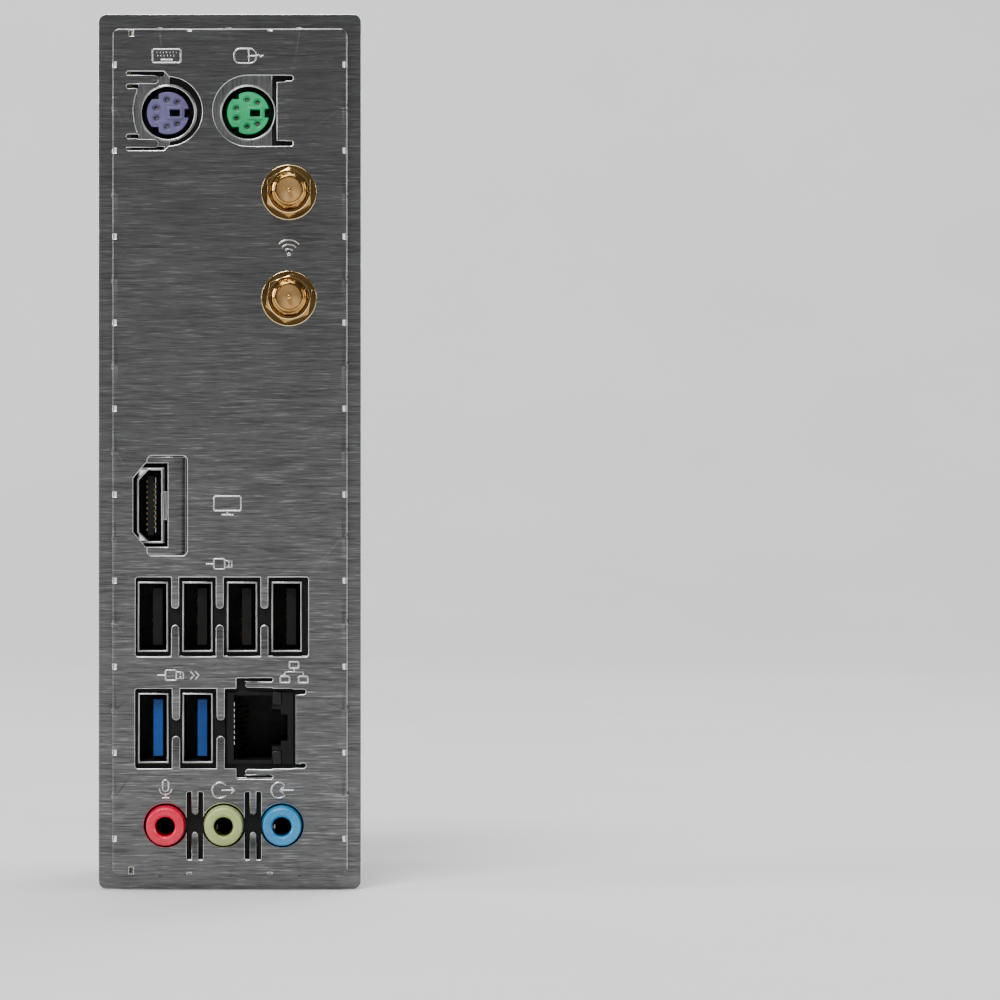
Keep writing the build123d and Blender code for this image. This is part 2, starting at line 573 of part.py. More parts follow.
# ---------------------------------------------------------------- video connector
VIDEO_X0, VIDEO_X1 = VIDEO_X - 2.4, VIDEO_X + 2.4
VIDEO_HALF, VIDEO_BACK = 6.97, 9.6
SKIRT_X, SKIRT_Y, SKIRT_HALF = -7.0, (2.3, 3.1), 9.7  # plastic plate around the shell, behind the opening


def video_outline(inset):
    """Outline of the mouth, with its two sloped corners towards the board."""
    with BuildLine() as outline:
        z = VIDEO_Z
        half, slope = VIDEO_HALF - inset, 0.4 * inset
        Polyline(
            (VIDEO_X1 - inset, z + half),
            (VIDEO_X0 + 2.0 + slope, z + half),
            (VIDEO_X0 + inset, z + half - 2.0 + slope),
            (VIDEO_X0 + inset, z - half + 2.0 - slope),
            (VIDEO_X0 + 2.0 + slope, z - half),
            (VIDEO_X1 - inset, z - half),
            close=True,
        )
    make_face(outline.edges())


with BuildPart() as video_port_shell:
    with BuildSketch(front(VIDEO_BACK)):
        video_outline(0)
    extrude(amount=VIDEO_BACK - RIM_Y)
    with BuildSketch(front(VIDEO_BACK + 1)):
        video_outline(SHEET)
    extrude(amount=VIDEO_BACK - RIM_Y + 2, mode=Mode.SUBTRACT)
    feet = []
    for side in (-1, 1):
        z_wall = VIDEO_Z + side * (VIDEO_HALF - SHEET / 2)
        for y in (2.8, 8.0):
            feet.append(foot(-13.5, y, 0.6, z_wall, SHEET / 2))
            board_holes.append((y, z_wall, 0.75))
    add(feet)
    # grounding lug beside the mouth
    block(VIDEO_X1 - 0.1, VIDEO_X1 + 0.75, RIM_Y + 0.1, SKIRT_Y[0] - FIT, VIDEO_Z - 2.65, VIDEO_Z + 2.65)
save(video_port_shell, "video_port_shell")

VIDEO_TONGUE = (-15.35, -14.15)
VIDEO_PITCH, STRIP = 0.5, 0.12
with BuildPart() as video_port_tongue:
    with BuildSketch(front(VIDEO_BACK - 0.1)):
        video_outline(SHEET + FIT)
    extrude(amount=4.0)
    block(*VIDEO_TONGUE, -1.0, 6, VIDEO_Z - 5.6, VIDEO_Z + 5.6)
    block(BOARD_TOP, VIDEO_X0 - FIT, BOARD_EDGE_Y, 9.0, VIDEO_Z - 6.4, VIDEO_Z + 6.4)  # pad under the shell
    with BuildSketch(front(SKIRT_Y[1])) as skirt:
        with Locations(((BOARD_TOP + SKIRT_X) / 2, VIDEO_Z)):
            Rectangle(SKIRT_X - BOARD_TOP, 2 * SKIRT_HALF)
        with Locations(((VIDEO_X0 + VIDEO_X1) / 2, VIDEO_Z)):
            Rectangle(VIDEO_X1 - VIDEO_X0 + 2 * FIT, 2 * (VIDEO_HALF + FIT), mode=Mode.SUBTRACT)
        with Locations(*[(BOARD_TOP, VIDEO_Z + side * (VIDEO_HALF - SHEET / 2)) for side in (-1, 1)]):
            Rectangle(9, SHEET + 2 * FIT, mode=Mode.SUBTRACT)  # room for the shell's feet
    extrude(skirt.sketch, amount=SKIRT_Y[1] - SKIRT_Y[0])
    with Locations((sum(VIDEO_TONGUE) / 2, 8, VIDEO_Z)):  # slots that the contact strips run through
        for side in (-1, 1):
            with Locations((side * (0.6 + STRIP / 2), 0, 0)):
                Box(STRIP + 0.06, 5.2, 10.4, mode=Mode.SUBTRACT)
save(video_port_tongue, "video_port_tongue")

with BuildPart() as video_port_contacts:
    strips = []
    for i in range(19):
        z = VIDEO_Z + (i - 9) * VIDEO_PITCH
        x = VIDEO_TONGUE[i % 2] + (STRIP if i % 2 else -STRIP) / 2
        y_leg = VIDEO_BACK + (1.6 if i % 2 else 0.4)
        strips.append(brick(x - STRIP / 2, x + STRIP / 2, -0.4, y_leg + 0.1, z - 0.16, z + 0.16))
        strips.append(brick(BOARD_TOP, x, y_leg - 0.1, y_leg + 0.1, z - 0.16, z + 0.16))
        strips.append(brick(BOARD_TOP, BOARD_TOP + 0.15, y_leg - 0.1, y_leg + 0.9, z - 0.16, z + 0.16))
    add(strips)
save(video_port_contacts, "video_port_contacts")

# ---------------------------------------------------------------- parts shared by all USB sockets
USB_W, USB_H = 5.12, 12.5  # mouth of one socket
TONGUE = (-0.05, 1.79)  # tongue's two faces from the socket's centre
GROOVE, HINGE_Y = 0.8, 4.4
USB_CONTACT_Z = (-3.5, -1.0, 1.0, 3.5)
TUBE_SHEET, TUBE_END = 0.25, 7.3  # the sheet tube that the plug slides into


def usb_tubes(places_x, z):
    """Sheet tubes that the plugs slide into, from the rims back to the insulator."""
    tubes, bores = [], []
    for x in places_x:
        half_w, half_h = USB_W / 2, USB_H / 2
        bores.append(brick(x - half_w, x + half_w, RIM_Y - 1, 8, z - half_h, z + half_h))
        half_w, half_h = half_w + TUBE_SHEET, half_h + TUBE_SHEET
        tubes.append(brick(x - half_w, x + half_w, RIM_Y, TUBE_END, z - half_h, z + half_h))
    add(tubes)
    add(bores, mode=Mode.SUBTRACT)


def usb_front(places_x, x1, z, z_half):
    """Insulator's front wall around the tubes, with webs between them back to the rear wall."""
    pieces = [brick(BOARD_TOP, x1, FRONT_Y, -0.6, z - z_half, z + z_half)]
    for x in places_x[:-1]:
        pieces.append(brick(x + 3.0, x + 5.3, -0.7, 7.6, z - 5.5, z + 5.5))
    add(pieces)
    half_w, half_h = USB_W / 2 + TUBE_SHEET + FIT, USB_H / 2 + TUBE_SHEET + FIT
    holes = [
        brick(x - half_w, x + half_w, -3, TUBE_END + FIT, z - half_h, z + half_h) for x in places_x
    ]
    add(holes, mode=Mode.SUBTRACT)


def usb_tongue(x, z, y_front, y_root):
    """Tongue of one socket, grooved so that its four contact springs can sink in."""
    block(x + TONGUE[0], x + TONGUE[1], y_front, y_root, z - 5.3, z + 5.3)
    grooves = []
    x_floor = x + TONGUE[0] + GROOVE
    for dz in USB_CONTACT_Z:
        z_mid = z + dz
        grooves.append(brick(x - 1, x_floor, y_front + 0.6, HINGE_Y + 0.4, z_mid - 0.7, z_mid + 0.7))
    add(grooves, mode=Mode.SUBTRACT)


def usb_springs(x, z):
    """The four springs of one socket: each rises to its contact bump and dips again at the tip."""
    with BuildSketch(Plane.XY.offset(z - 0.5)) as profile:
        with BuildLine():
            t = CONTACT_SHEET
            Polyline(
                (x + 0.2, HINGE_Y),
                (x - 0.45, 0.9),
                (x + 0.05, -0.1),
                (x + 0.05 + t, -0.1),
                (x - 0.45 + t, 0.95),
                (x + 0.2 + t, HINGE_Y),
                close=True,
            )
        make_face()
    spring = extrude(profile.sketch, amount=1.0, mode=Mode.PRIVATE)
    with Locations(*[(0, 0, dz) for dz in USB_CONTACT_Z]):
        add(spring)


def usb_tails(x, z, y_out, y_leg, places=USB_CONTACT_Z):
    """Fixed roots of the springs, which run back through the insulator and down to the board."""
    strips = []
    for dz in places:
        strips += tail(x + 0.33, y_out, y_leg, z + dz, width=0.7)
    add(strips)


def tail_slots(x, z, y0, y1, places=USB_CONTACT_Z):
    """Slots in an insulator for the fixed roots."""
    slots = [brick(x + 0.18, x + 0.48, y0, y1, z + dz - 0.38, z + dz + 0.38) for dz in places]
    add(slots, mode=Mode.SUBTRACT)


# ---------------------------------------------------------------- four stacked USB 2.0 sockets
USB2_HALF, USB2_TOP, USB2_BACK = 7.6, 15.1, 13.0

with BuildPart() as usb2_shell:
    shell_box(USB2_TOP, USB2_BACK, USB2_Z, USB2_HALF, (3.5, 10.5), open_front=True)
    usb_tubes(USB2_X, USB2_Z)
save(usb2_shell, "usb2_shell")

with BuildPart() as usb2_housing:
    z_half = USB2_HALF - SHEET - FIT
    block(BOARD_TOP, USB2_TOP - SHEET - FIT, 7.5, USB2_BACK, USB2_Z - z_half, USB2_Z + z_half)
    usb_front(USB2_X, USB2_TOP - SHEET - FIT, USB2_Z, z_half)
    for x in USB2_X:
        usb_tongue(x, USB2_Z, -0.8, 7.6)
    for x in USB2_X:
        tail_slots(x, USB2_Z, HINGE_Y, USB2_BACK + 1)
save(usb2_housing, "usb2_housing")

with BuildPart() as usb2_contact_tails:
    for i, x in enumerate(USB2_X):
        usb_tails(x, USB2_Z, HINGE_Y + 0.2, USB2_BACK + 0.7 + 1.5 * i)
save(usb2_contact_tails, "usb2_contact_tails")

for i, x in enumerate(USB2_X):
    with BuildPart() as usb2_springs:
        usb_springs(x, USB2_Z)
    save(usb2_springs, f"usb2_contact_springs_{i + 1}")

# ---------------------------------------------------------------- two USB 3.2 sockets under a network jack
LAN_HALF, LAN_TOP, LAN_BACK = 9.55, 14.6, 21.0
LAN_FACE = (-0.5, 11.9)  # the jack's face, away from the board
USB3_BACK = 10.6

with BuildPart() as lan_usb_shell:
    shell_box(LAN_TOP, LAN_BACK, LAN_Z, LAN_HALF, (3.5, 17.5), open_front=True)
    usb_tubes(USB3_X, LAN_Z)
save(lan_usb_shell, "lan_usb_shell")

with BuildPart() as usb3_housing:
    z_half = LAN_HALF - SHEET - FIT
    block(BOARD_TOP, -0.8, 7.5, USB3_BACK, LAN_Z - z_half, LAN_Z + z_half)
    usb_front(USB3_X, -0.8, LAN_Z, z_half)
    for x in USB3_X:
        block(x - 0.25, x + 2.0, 7, USB3_BACK - 1.5, LAN_Z - 5.4, LAN_Z + 5.4, Mode.SUBTRACT)
        tail_slots(x, LAN_Z, 7, USB3_BACK + 1)
save(usb3_housing, "usb3_housing")

with BuildPart() as usb3_tongues:
    for x in USB3_X:
        usb_tongue(x, LAN_Z, -0.8, USB3_BACK - 1.6)
    for x in USB3_X:
        tail_slots(x, LAN_Z, HINGE_Y, USB3_BACK + 1)
save(usb3_tongues, "usb3_tongues")

with BuildPart() as usb3_contact_tails:
    for i, x in enumerate(USB3_X):
        usb_tails(x, LAN_Z, HINGE_Y + 0.2, USB3_BACK + 0.7 + 1.5 * i)
save(usb3_contact_tails, "usb3_contact_tails")

for i, x in enumerate(USB3_X):
    with BuildPart() as usb3_springs:
        usb_springs(x, LAN_Z)
    save(usb3_springs, f"usb3_contact_springs_{i + 1}")

LAN_PITCH, LAN_ROOT_X, LAN_ROOT_Y = 1.02, 0.35, 1.6
LAN_CAVITY_BACK = 11.0
LED_Z = (LAN_Z + 5.55, LAN_Z - 5.55)
with BuildPart() as lan_jack_housing:
    block(*LAN_FACE, -1.9, 1, LAN_Z - 6.75, LAN_Z + 6.75)
    z_half = LAN_HALF - SHEET - FIT
    block(-0.7, LAN_TOP - SHEET - FIT, FRONT_Y, LAN_CAVITY_BACK + 1.5, LAN_Z - z_half, LAN_Z + z_half)
    cavity = [
        brick(0.8, 7.85, -3, LAN_CAVITY_BACK, LAN_Z - 6.05, LAN_Z + 6.05),
        brick(7.8, 9.54, -3, LAN_CAVITY_BACK, LAN_Z - 3.5, LAN_Z + 3.5),
        brick(9.5, 10.8, -3, LAN_CAVITY_BACK, LAN_Z - 2.5, LAN_Z + 2.5),
        brick(0.1, 0.9, 1.2, LAN_CAVITY_BACK + 3, LAN_Z - 4.3, LAN_Z + 4.3),
    ]
    for z in LED_Z:
        cavity.append(brick(7.98, 9.62, -3, 6.5, z - 1.27, z + 1.27))
    add(cavity, mode=Mode.SUBTRACT)
save(lan_jack_housing, "lan_jack_housing")

with BuildPart() as lan_led_lenses:
    for z in LED_Z:
        block(8.0, 9.6, -2.1, 6.4, z - 1.25, z + 1.25)
save(lan_led_lenses, "lan_led_lenses")

with BuildPart() as lan_contact_tails:
    strips = []
    for i in range(8):
        z = LAN_Z + (i - 3.5) * LAN_PITCH
        strips += tail(LAN_ROOT_X, LAN_ROOT_Y + 0.45, 16.4 + 1.3 * (i % 2), z, width=0.45)
    add(strips)
save(lan_contact_tails, "lan_contact_tails")

with BuildPart() as lan_contact_springs:
    with BuildSketch(Plane.XY.offset(LAN_Z - 3.5 * LAN_PITCH - 0.22)):
        with BuildLine():  # a wire folded back at the mouth, rising into the cavity
            t = CONTACT_SHEET
            x, y = LAN_ROOT_X - t / 2, LAN_ROOT_Y
            fold = [(x, y), (x + 0.55, y - 0.1), (3.5, 7.9), (3.5 - t, 8.05), (x + 0.5, y + t), (x, y + t)]
            Polyline(*fold, close=True)
        make_face()
    wire = extrude(amount=0.44, mode=Mode.PRIVATE)
    with Locations(*[(0, 0, i * LAN_PITCH) for i in range(8)]):
        add(wire)
save(lan_contact_springs, "lan_contact_springs")

with BuildPart() as lan_magnetics:
    block(0.7, 11.4, LAN_CAVITY_BACK + 1.7, LAN_BACK - 0.5, LAN_Z - 6.3, LAN_Z + 6.3)
    fillet(lan_magnetics.edges().filter_by(Axis.Y), 0.6)
save(lan_magnetics, "lan_magnetics")

# ---------------------------------------------------------------- three audio jacks
AUDIO_HALF, AUDIO_TOP, AUDIO_BACK = 6.45, 14.4, 12.2
AUDIO_FACE_Y, AUDIO_TIP_Y, AUDIO_HOLE, AUDIO_SLEEVE_END = -1.3, -6.1, 1.8, 0.6
AUDIO_HINGE_Y = 2.4

with BuildPart() as audio_housing:
    block(BOARD_TOP, AUDIO_TOP, AUDIO_FACE_Y, AUDIO_BACK, AUDIO_Z - AUDIO_HALF, AUDIO_Z + AUDIO_HALF)
    audio_places = [(x, AUDIO_Z) for x in AUDIO_X]
    rods(audio_places, 3.05, AUDIO_FACE_Y - 1, AUDIO_SLEEVE_END, Mode.SUBTRACT)
    chambers = []
    for x in AUDIO_X:
        chambers.append(
            brick(x - 2.1, x + 4.3, AUDIO_SLEEVE_END - 0.1, 10.0, AUDIO_Z - 2.4, AUDIO_Z + 2.4)
        )
        for dx, dz in ((3.55, 0), (-1.5, 1.5), (-1.5, -1.5)):
            x_slot, z_slot = x + dx, AUDIO_Z + dz
            chambers.append(
                brick(x_slot - 0.18, x_slot + 0.18, 9, AUDIO_BACK + 1, z_slot - 0.53, z_slot + 0.53)
            )
    add(chambers, mode=Mode.SUBTRACT)
save(audio_housing, "audio_housing")

for name, x in zip(("audio_ring_mic", "audio_ring_line_out", "audio_ring_line_in"), AUDIO_X):
    with BuildPart() as audio_ring:
        with BuildSketch(Plane(origin=(x, 0, AUDIO_Z), x_dir=(1, 0, 0), z_dir=(0, 0, 1))):
            with BuildLine():
                Polyline(
                    (AUDIO_HOLE, AUDIO_SLEEVE_END),
                    (3.0, AUDIO_SLEEVE_END),
                    (3.0, AUDIO_FACE_Y),
                    (3.75, AUDIO_FACE_Y),
                    (3.5, AUDIO_TIP_Y + 0.35),
                )
                ThreePointArc((3.5, AUDIO_TIP_Y + 0.35), (3.38, AUDIO_TIP_Y + 0.1), (3.15, AUDIO_TIP_Y))
                Polyline(
                    (3.15, AUDIO_TIP_Y),
                    (AUDIO_HOLE + 0.4, AUDIO_TIP_Y),
                    (AUDIO_HOLE, AUDIO_TIP_Y + 0.4),
                    (AUDIO_HOLE, AUDIO_SLEEVE_END),
                )
            make_face()
        revolve(axis=Axis((x, 0, AUDIO_Z), (0, 1, 0)))
    save(audio_ring, name)

with BuildPart() as audio_contact_tails:
    strips = []
    for i, x in enumerate(AUDIO_X):
        y_leg = AUDIO_BACK + 0.8 + 1.6 * i
        strips.append(brick(x + 3.43, x + 3.67, AUDIO_HINGE_Y + 0.25, 10, AUDIO_Z - 0.5, AUDIO_Z + 0.5))
        strips += tail(x + 3.55, 9.8, y_leg, AUDIO_Z, width=1.0)
        for dz in (-1.5, 1.5):
            strips.append(brick(x - 1.62, x - 1.38, 2.0, 10, AUDIO_Z + dz - 0.4, AUDIO_Z + dz + 0.4))
            strips += tail(x - 1.5, 9.8, y_leg, AUDIO_Z + dz, width=0.8)
    add(strips)
save(audio_contact_tails, "audio_contact_tails")

for i, x in enumerate(AUDIO_X):
    with BuildPart() as audio_spring:
        with BuildSketch(Plane.XY.offset(AUDIO_Z - 0.7)):
            with BuildLine():
                t = CONTACT_SHEET
                Polyline(
                    (x + 3.3, AUDIO_HINGE_Y),
                    (x + 2.9, AUDIO_HINGE_Y + 0.2),
                    (x + 1.5, 7.0),
                    (x + 2.4, 8.7),
                    (x + 2.4 + t, 8.65),
                    (x + 1.5 + t, 6.95),
                    (x + 2.9 + t, AUDIO_HINGE_Y + 0.3),
                    close=True,
                )
            make_face()
        extrude(amount=1.4)
    save(audio_spring, f"audio_contact_spring_{i + 1}")

# ---------------------------------------------------------------- strip of the computer's board
BOARD_HALF = LIP_H / 2
MOUNT_HOLE_R, MOUNT_HOLE_Z, MOUNT_HOLE_INSET = 1.98, 78.74, 10.16

with BuildPart() as io_board:
    block(BOARD_TOP - BOARD_THICK, BOARD_TOP, BOARD_EDGE_Y, BOARD_BACK_Y, -BOARD_HALF, BOARD_HALF)
    with BuildSketch(Plane.YZ.offset(BOARD_TOP + 1)):
        for y, z, radius in board_holes:
            with Locations((y, z)):
                Circle(radius)
        with Locations(*[(BOARD_EDGE_Y + MOUNT_HOLE_INSET, side * MOUNT_HOLE_Z) for side in (-1, 1)]):
            Circle(MOUNT_HOLE_R)
    extrude(amount=-BOARD_THICK - 2, mode=Mode.SUBTRACT)
save(io_board, "io_board")
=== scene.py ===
"""Looks of the rear connector panel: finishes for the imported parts, rounded copies of the parts that
show their edges, cut threads, stamped pictograms, solder, board components, and the studio: floor,
lights and camera.

Lengths are in millimetres, apart from those of the studio, which are in metres.
"""

import json
import math

import bmesh
import bpy
from mathutils import Matrix, Vector


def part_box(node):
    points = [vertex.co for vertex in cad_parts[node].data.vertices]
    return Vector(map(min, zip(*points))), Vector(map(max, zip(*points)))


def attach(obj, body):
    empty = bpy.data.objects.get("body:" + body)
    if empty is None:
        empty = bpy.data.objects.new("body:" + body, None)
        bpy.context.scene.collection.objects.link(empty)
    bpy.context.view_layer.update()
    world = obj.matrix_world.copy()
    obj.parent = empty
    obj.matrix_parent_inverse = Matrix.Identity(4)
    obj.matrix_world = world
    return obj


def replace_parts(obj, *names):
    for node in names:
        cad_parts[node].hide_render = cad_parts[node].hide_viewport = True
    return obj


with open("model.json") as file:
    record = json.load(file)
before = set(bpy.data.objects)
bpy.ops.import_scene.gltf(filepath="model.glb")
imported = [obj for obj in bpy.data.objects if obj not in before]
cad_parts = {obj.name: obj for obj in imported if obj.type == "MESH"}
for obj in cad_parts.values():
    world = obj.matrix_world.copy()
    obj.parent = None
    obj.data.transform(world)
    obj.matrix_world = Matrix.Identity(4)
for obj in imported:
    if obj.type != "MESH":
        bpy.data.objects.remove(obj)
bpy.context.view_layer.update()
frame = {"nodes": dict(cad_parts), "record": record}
NODES = frame["nodes"]
RECORD = frame["record"]
SLOT_OF = {part["node"]: part["material_slot"] for part in RECORD["subparts"]}
BODY_OF = {node: body for body, nodes in RECORD["behaviour"]["bodies"].items() for node in nodes}
PANEL = "panel"  # the body of everything that doesn't move

MM = 0.001  # metres
FACE_Y = -2.6  # outer surface of the shield's raised face
BOARD_LOW, BOARD_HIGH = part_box("io_board")
BOARD_TOP, BOARD_UNDER = BOARD_HIGH.x / MM, BOARD_LOW.x / MM  # its component and solder sides
EDGE = "edge"  # mesh attribute: 1 on the faces that round an edge


# ---------------------------------------------------------------- materials
def tone(r, g, b):
    return (r, g, b, 1.0)


def grey(value):
    return tone(value, value, value)


class Look:
    """A material under construction, around one principled shader."""

    def __init__(self, name, **fixed):
        self.material = bpy.data.materials.new(name)
        self.material.use_nodes = True
        self.tree = self.material.node_tree
        self.shader = self.tree.nodes["Principled BSDF"]
        self.where = self.add("ShaderNodeTexCoord").outputs["Object"]
        for socket, value in fixed.items():
            self.shader.inputs[socket.replace("_", " ")].default_value = value

    def add(self, kind, **values):
        """New node, with its input sockets set or linked and its plain settings set."""
        node = self.tree.nodes.new(kind)
        for name, value in values.items():
            socket = name.replace("_", " ")
            if socket not in node.inputs:
                setattr(node, name, value)
            elif isinstance(value, bpy.types.NodeSocket):
                self.tree.links.new(value, node.inputs[socket])
            else:
                node.inputs[socket].default_value = value
        return node

    def noise(self, per_metre, stretch=(1, 1, 1), detail=4.0, roughness=0.55):
        """Noise in the part's own frame, drawn out along an axis whose stretch is under 1."""
        scaled = self.add("ShaderNodeMapping", Vector=self.where, Scale=stretch).outputs["Vector"]
        settings = {"Scale": per_metre, "Detail": detail, "Roughness": roughness}
        return self.add("ShaderNodeTexNoise", Vector=scaled, **settings).outputs["Fac"]

    def ramp(self, source, stops):
        """Colours along a grey source: stops are (position, colour)."""
        node = self.add("ShaderNodeValToRGB", Fac=source)
        points = node.color_ramp.elements
        points[0].position, points[0].color = stops[0]
        points[1].position, points[1].color = stops[-1]
        for position, colour in stops[1:-1]:
            points.new(position).color = colour
        return node.outputs["Color"]

    def remap(self, source, given, wanted):
        """A grey source whose given span becomes the wanted span."""
        (low, high), (out_low, out_high) = given, wanted
        limits = {"From_Min": low, "From_Max": high, "To_Min": out_low, "To_Max": out_high}
        return self.add("ShaderNodeMapRange", Value=source, **limits).outputs["Result"]

    def mix(self, amount, first, second, blend="MIX"):
        node = self.add("ShaderNodeMix", data_type="RGBA", blend_type=blend)
        for name, value in (("Factor", amount), ("A", first), ("B", second)):
            socket = [s for s in node.inputs if s.name == name and s.enabled][0]
            if isinstance(value, bpy.types.NodeSocket):
                self.tree.links.new(value, socket)
            else:
                socket.default_value = value
        return [s for s in node.outputs if s.enabled][0]

    def shade(self, amount, colour, source, span, dark, blend="MULTIPLY"):
        """The colour, darkened towards the low end of a span of a grey source."""
        shadow = self.ramp(source, [(span[0], grey(dark)), (span[1], grey(1.0))])
        return self.mix(amount, colour, shadow, blend)

    def edges(self):
        """1 on the faces that round an edge."""
        return self.add("ShaderNodeAttribute", attribute_name=EDGE).outputs["Fac"]

    def bump(self, height, strength, depth_mm, normal=None):
        node = self.add("ShaderNodeBump", Height=height, Strength=strength, Distance=depth_mm * MM)
        if normal:
            self.tree.links.new(normal, node.inputs["Normal"])
        return node.outputs["Normal"]

    def wire(self, **sockets):
        for name, source in sockets.items():
            self.tree.links.new(source, self.shader.inputs[name.replace("_", " ")])
        return self.material


def brushed(name, dark, mid, bright, along, rough):
    """Grey metal brushed along an axis: scratches, longer bands, faint haze, edge wear and a painted
    edge highlight.
    """
    look = Look(name, Metallic=1.0)
    thin = {"x": (0.05, 0.05, 1), "z": (1, 1, 0.05)}[along]
    scratches = look.noise(4800, thin, detail=2.0, roughness=0.5)
    bands = look.noise(1300, thin, detail=4.0, roughness=0.6)
    haze = look.noise(45, detail=3.0)
    stops = [(0.36, grey(dark)), (0.47, grey(mid)), (0.6, grey(mid)), (0.7, grey(bright))]
    banded = look.shade(0.6, look.ramp(scratches, stops), bands, span=(0.34, 0.66), dark=0.5)
    hazy = look.shade(0.25, banded, haze, span=(0.35, 0.7), dark=0.6)
    # rounded edges painted bright: partly rubbed bare steel, partly a painted highlight of the light
    # they catch
    edge_wear_and_highlight = look.ramp(scratches, [(0.35, grey(0.6)), (0.6, grey(0.95))])
    colour = look.mix(look.edges(), hazy, edge_wear_and_highlight)
    spread = look.remap(scratches, (0.3, 0.75), rough[::-1])
    relief = look.bump(scratches, strength=0.28, depth_mm=0.01)
    return look.wire(Base_Color=colour, Roughness=spread, Normal=relief)


def plated(name, deep, bright, rough, wear=0.35, edge=None):
    """Plated metal with tool marks, dull patches, soft dents and, if wanted, a painted highlight on
    its edges.
    """
    look = Look(name, Metallic=1.0)
    patches = look.noise(260, detail=5.0)
    marks = look.noise(5200, detail=2.0)
    base = look.ramp(patches, [(0.3, deep), (0.62, bright)])
    colour = look.shade(wear / 2, base, marks, span=(0.4, 0.6), dark=0.55)
    # edge colour: a painted highlight on the rounded edges
    if edge:
        colour = look.mix(look.edges(), colour, edge)
    spread = look.remap(patches, (0.3, 0.75), rough[::-1])
    dents = look.bump(patches, strength=0.15, depth_mm=0.03)
    relief = look.bump(marks, strength=0.12, depth_mm=0.006, normal=dents)
    return look.wire(Base_Color=colour, Roughness=spread, Normal=relief)


def moulded(name, deep, bright, rough, grain=9000, **fixed):
    """Moulded plastic: spark-eroded grain, slow flow shading, and dust that dulls it in patches."""
    look = Look(name, **fixed)
    flow = look.noise(130, detail=3.0)
    texture = look.noise(grain, detail=2.0, roughness=0.5)
    dust = look.noise(700, detail=5.0, roughness=0.7)
    base = look.ramp(flow, [(0.3, deep), (0.7, bright)])
    colour = look.shade(0.12, base, dust, span=(0.5, 0.75), dark=0.4, blend="SOFT_LIGHT")
    spread = look.remap(dust, (0.35, 0.75), rough)
    relief = look.bump(texture, strength=0.3, depth_mm=0.006)
    return look.wire(Base_Color=colour, Roughness=spread, Normal=relief)


def laminate(name, mask_deep, mask_bright, core, across):
    """Printed board: solder mask over a weave on its faces, glass-fibre layers on its cut edges.

    across is the number of the axis through its thickness.
    """
    look = Look(name, Coat_Weight=0.25, Coat_Roughness=0.2, Specular_IOR_Level=0.5)
    thread = {"Vector": look.where, "Scale": 900.0, "Distortion": 0.6, "Detail": 1.0}
    warp, weft = (look.add("ShaderNodeTexWave", bands_direction=axis, **thread) for axis in "ZY")
    woven = look.mix(0.5, warp.outputs["Color"], weft.outputs["Color"])
    cloud = look.noise(160, detail=4.0)
    mask = look.ramp(cloud, [(0.3, mask_deep), (0.7, mask_bright)])
    mask = look.mix(0.12, mask, woven, "OVERLAY")
    facing = look.add("ShaderNodeNewGeometry").outputs["Normal"]
    slope = look.add("ShaderNodeSeparateXYZ", Vector=facing).outputs[across]
    flatness = look.add("ShaderNodeMath", operation="ABSOLUTE", Value=slope).outputs["Value"]
    cut = look.remap(flatness, (0.5, 0.8), (1.0, 0.0))
    layers = look.noise(4200, [1 if axis == across else 0.02 for axis in range(3)], detail=2.0)
    side = look.ramp(layers, [(0.35, core), (0.65, tone(0.42, 0.38, 0.24))])
    colour = look.mix(cut, mask, side)
    spread = look.remap(cloud, (0.3, 0.7), (0.28, 0.45))
    relief = look.bump(woven, strength=0.12, depth_mm=0.01)
    return look.wire(Base_Color=colour, Roughness=spread, Normal=relief)


SATIN, GLOSSY = (0.35, 0.5), (0.22, 0.36)  # roughness of plastics

SHIELD = brushed("shield_brushed", 0.13, 0.2, 0.38, along="x", rough=(0.28, 0.38))
# a much lighter copy of the shield's own steel: painted highlight on the raised stamped strokes
HIGHLIT_STAMP = brushed("stamped_steel_highlit", 0.7, 0.85, 1.0, along="x", rough=(0.2, 0.36))
COVER = brushed("connector_sheet", 0.2, 0.34, 0.65, along="z", rough=(0.24, 0.38))
BRACKET = brushed("bracket_sheet", 0.36, 0.5, 0.8, along="z", rough=(0.22, 0.4))

# gold plating darkened well below its own colour: painted shade standing in for the dark surroundings
# it reflects
SHADED_GOLD = plated(
    "gold_plate_shaded",
    deep=tone(0.3, 0.15, 0.04),
    bright=tone(0.6, 0.35, 0.11),
    rough=(0.06, 0.14),
    wear=0.3,
    # painted highlight on the rounded edges of the nuts and washers
    edge=tone(0.98, 0.74, 0.4),
)
CONTACT_GOLD = plated("contact_gold", tone(0.6, 0.36, 0.1), tone(0.95, 0.66, 0.28), (0.15, 0.32))
BRASS = plated("turned_brass", tone(0.5, 0.34, 0.12), tone(0.85, 0.62, 0.28), (0.2, 0.36))
TIN = plated("tin_plate", grey(0.45), grey(0.72), rough=(0.25, 0.45))
NICKEL = plated("nickel_plate", grey(0.5), grey(0.75), rough=(0.15, 0.3))
SOLDER = plated("solder", grey(0.5), grey(0.8), rough=(0.18, 0.42), wear=0.5)
CAN = plated("can_tin", grey(0.42), grey(0.66), rough=(0.28, 0.5), wear=0.5)

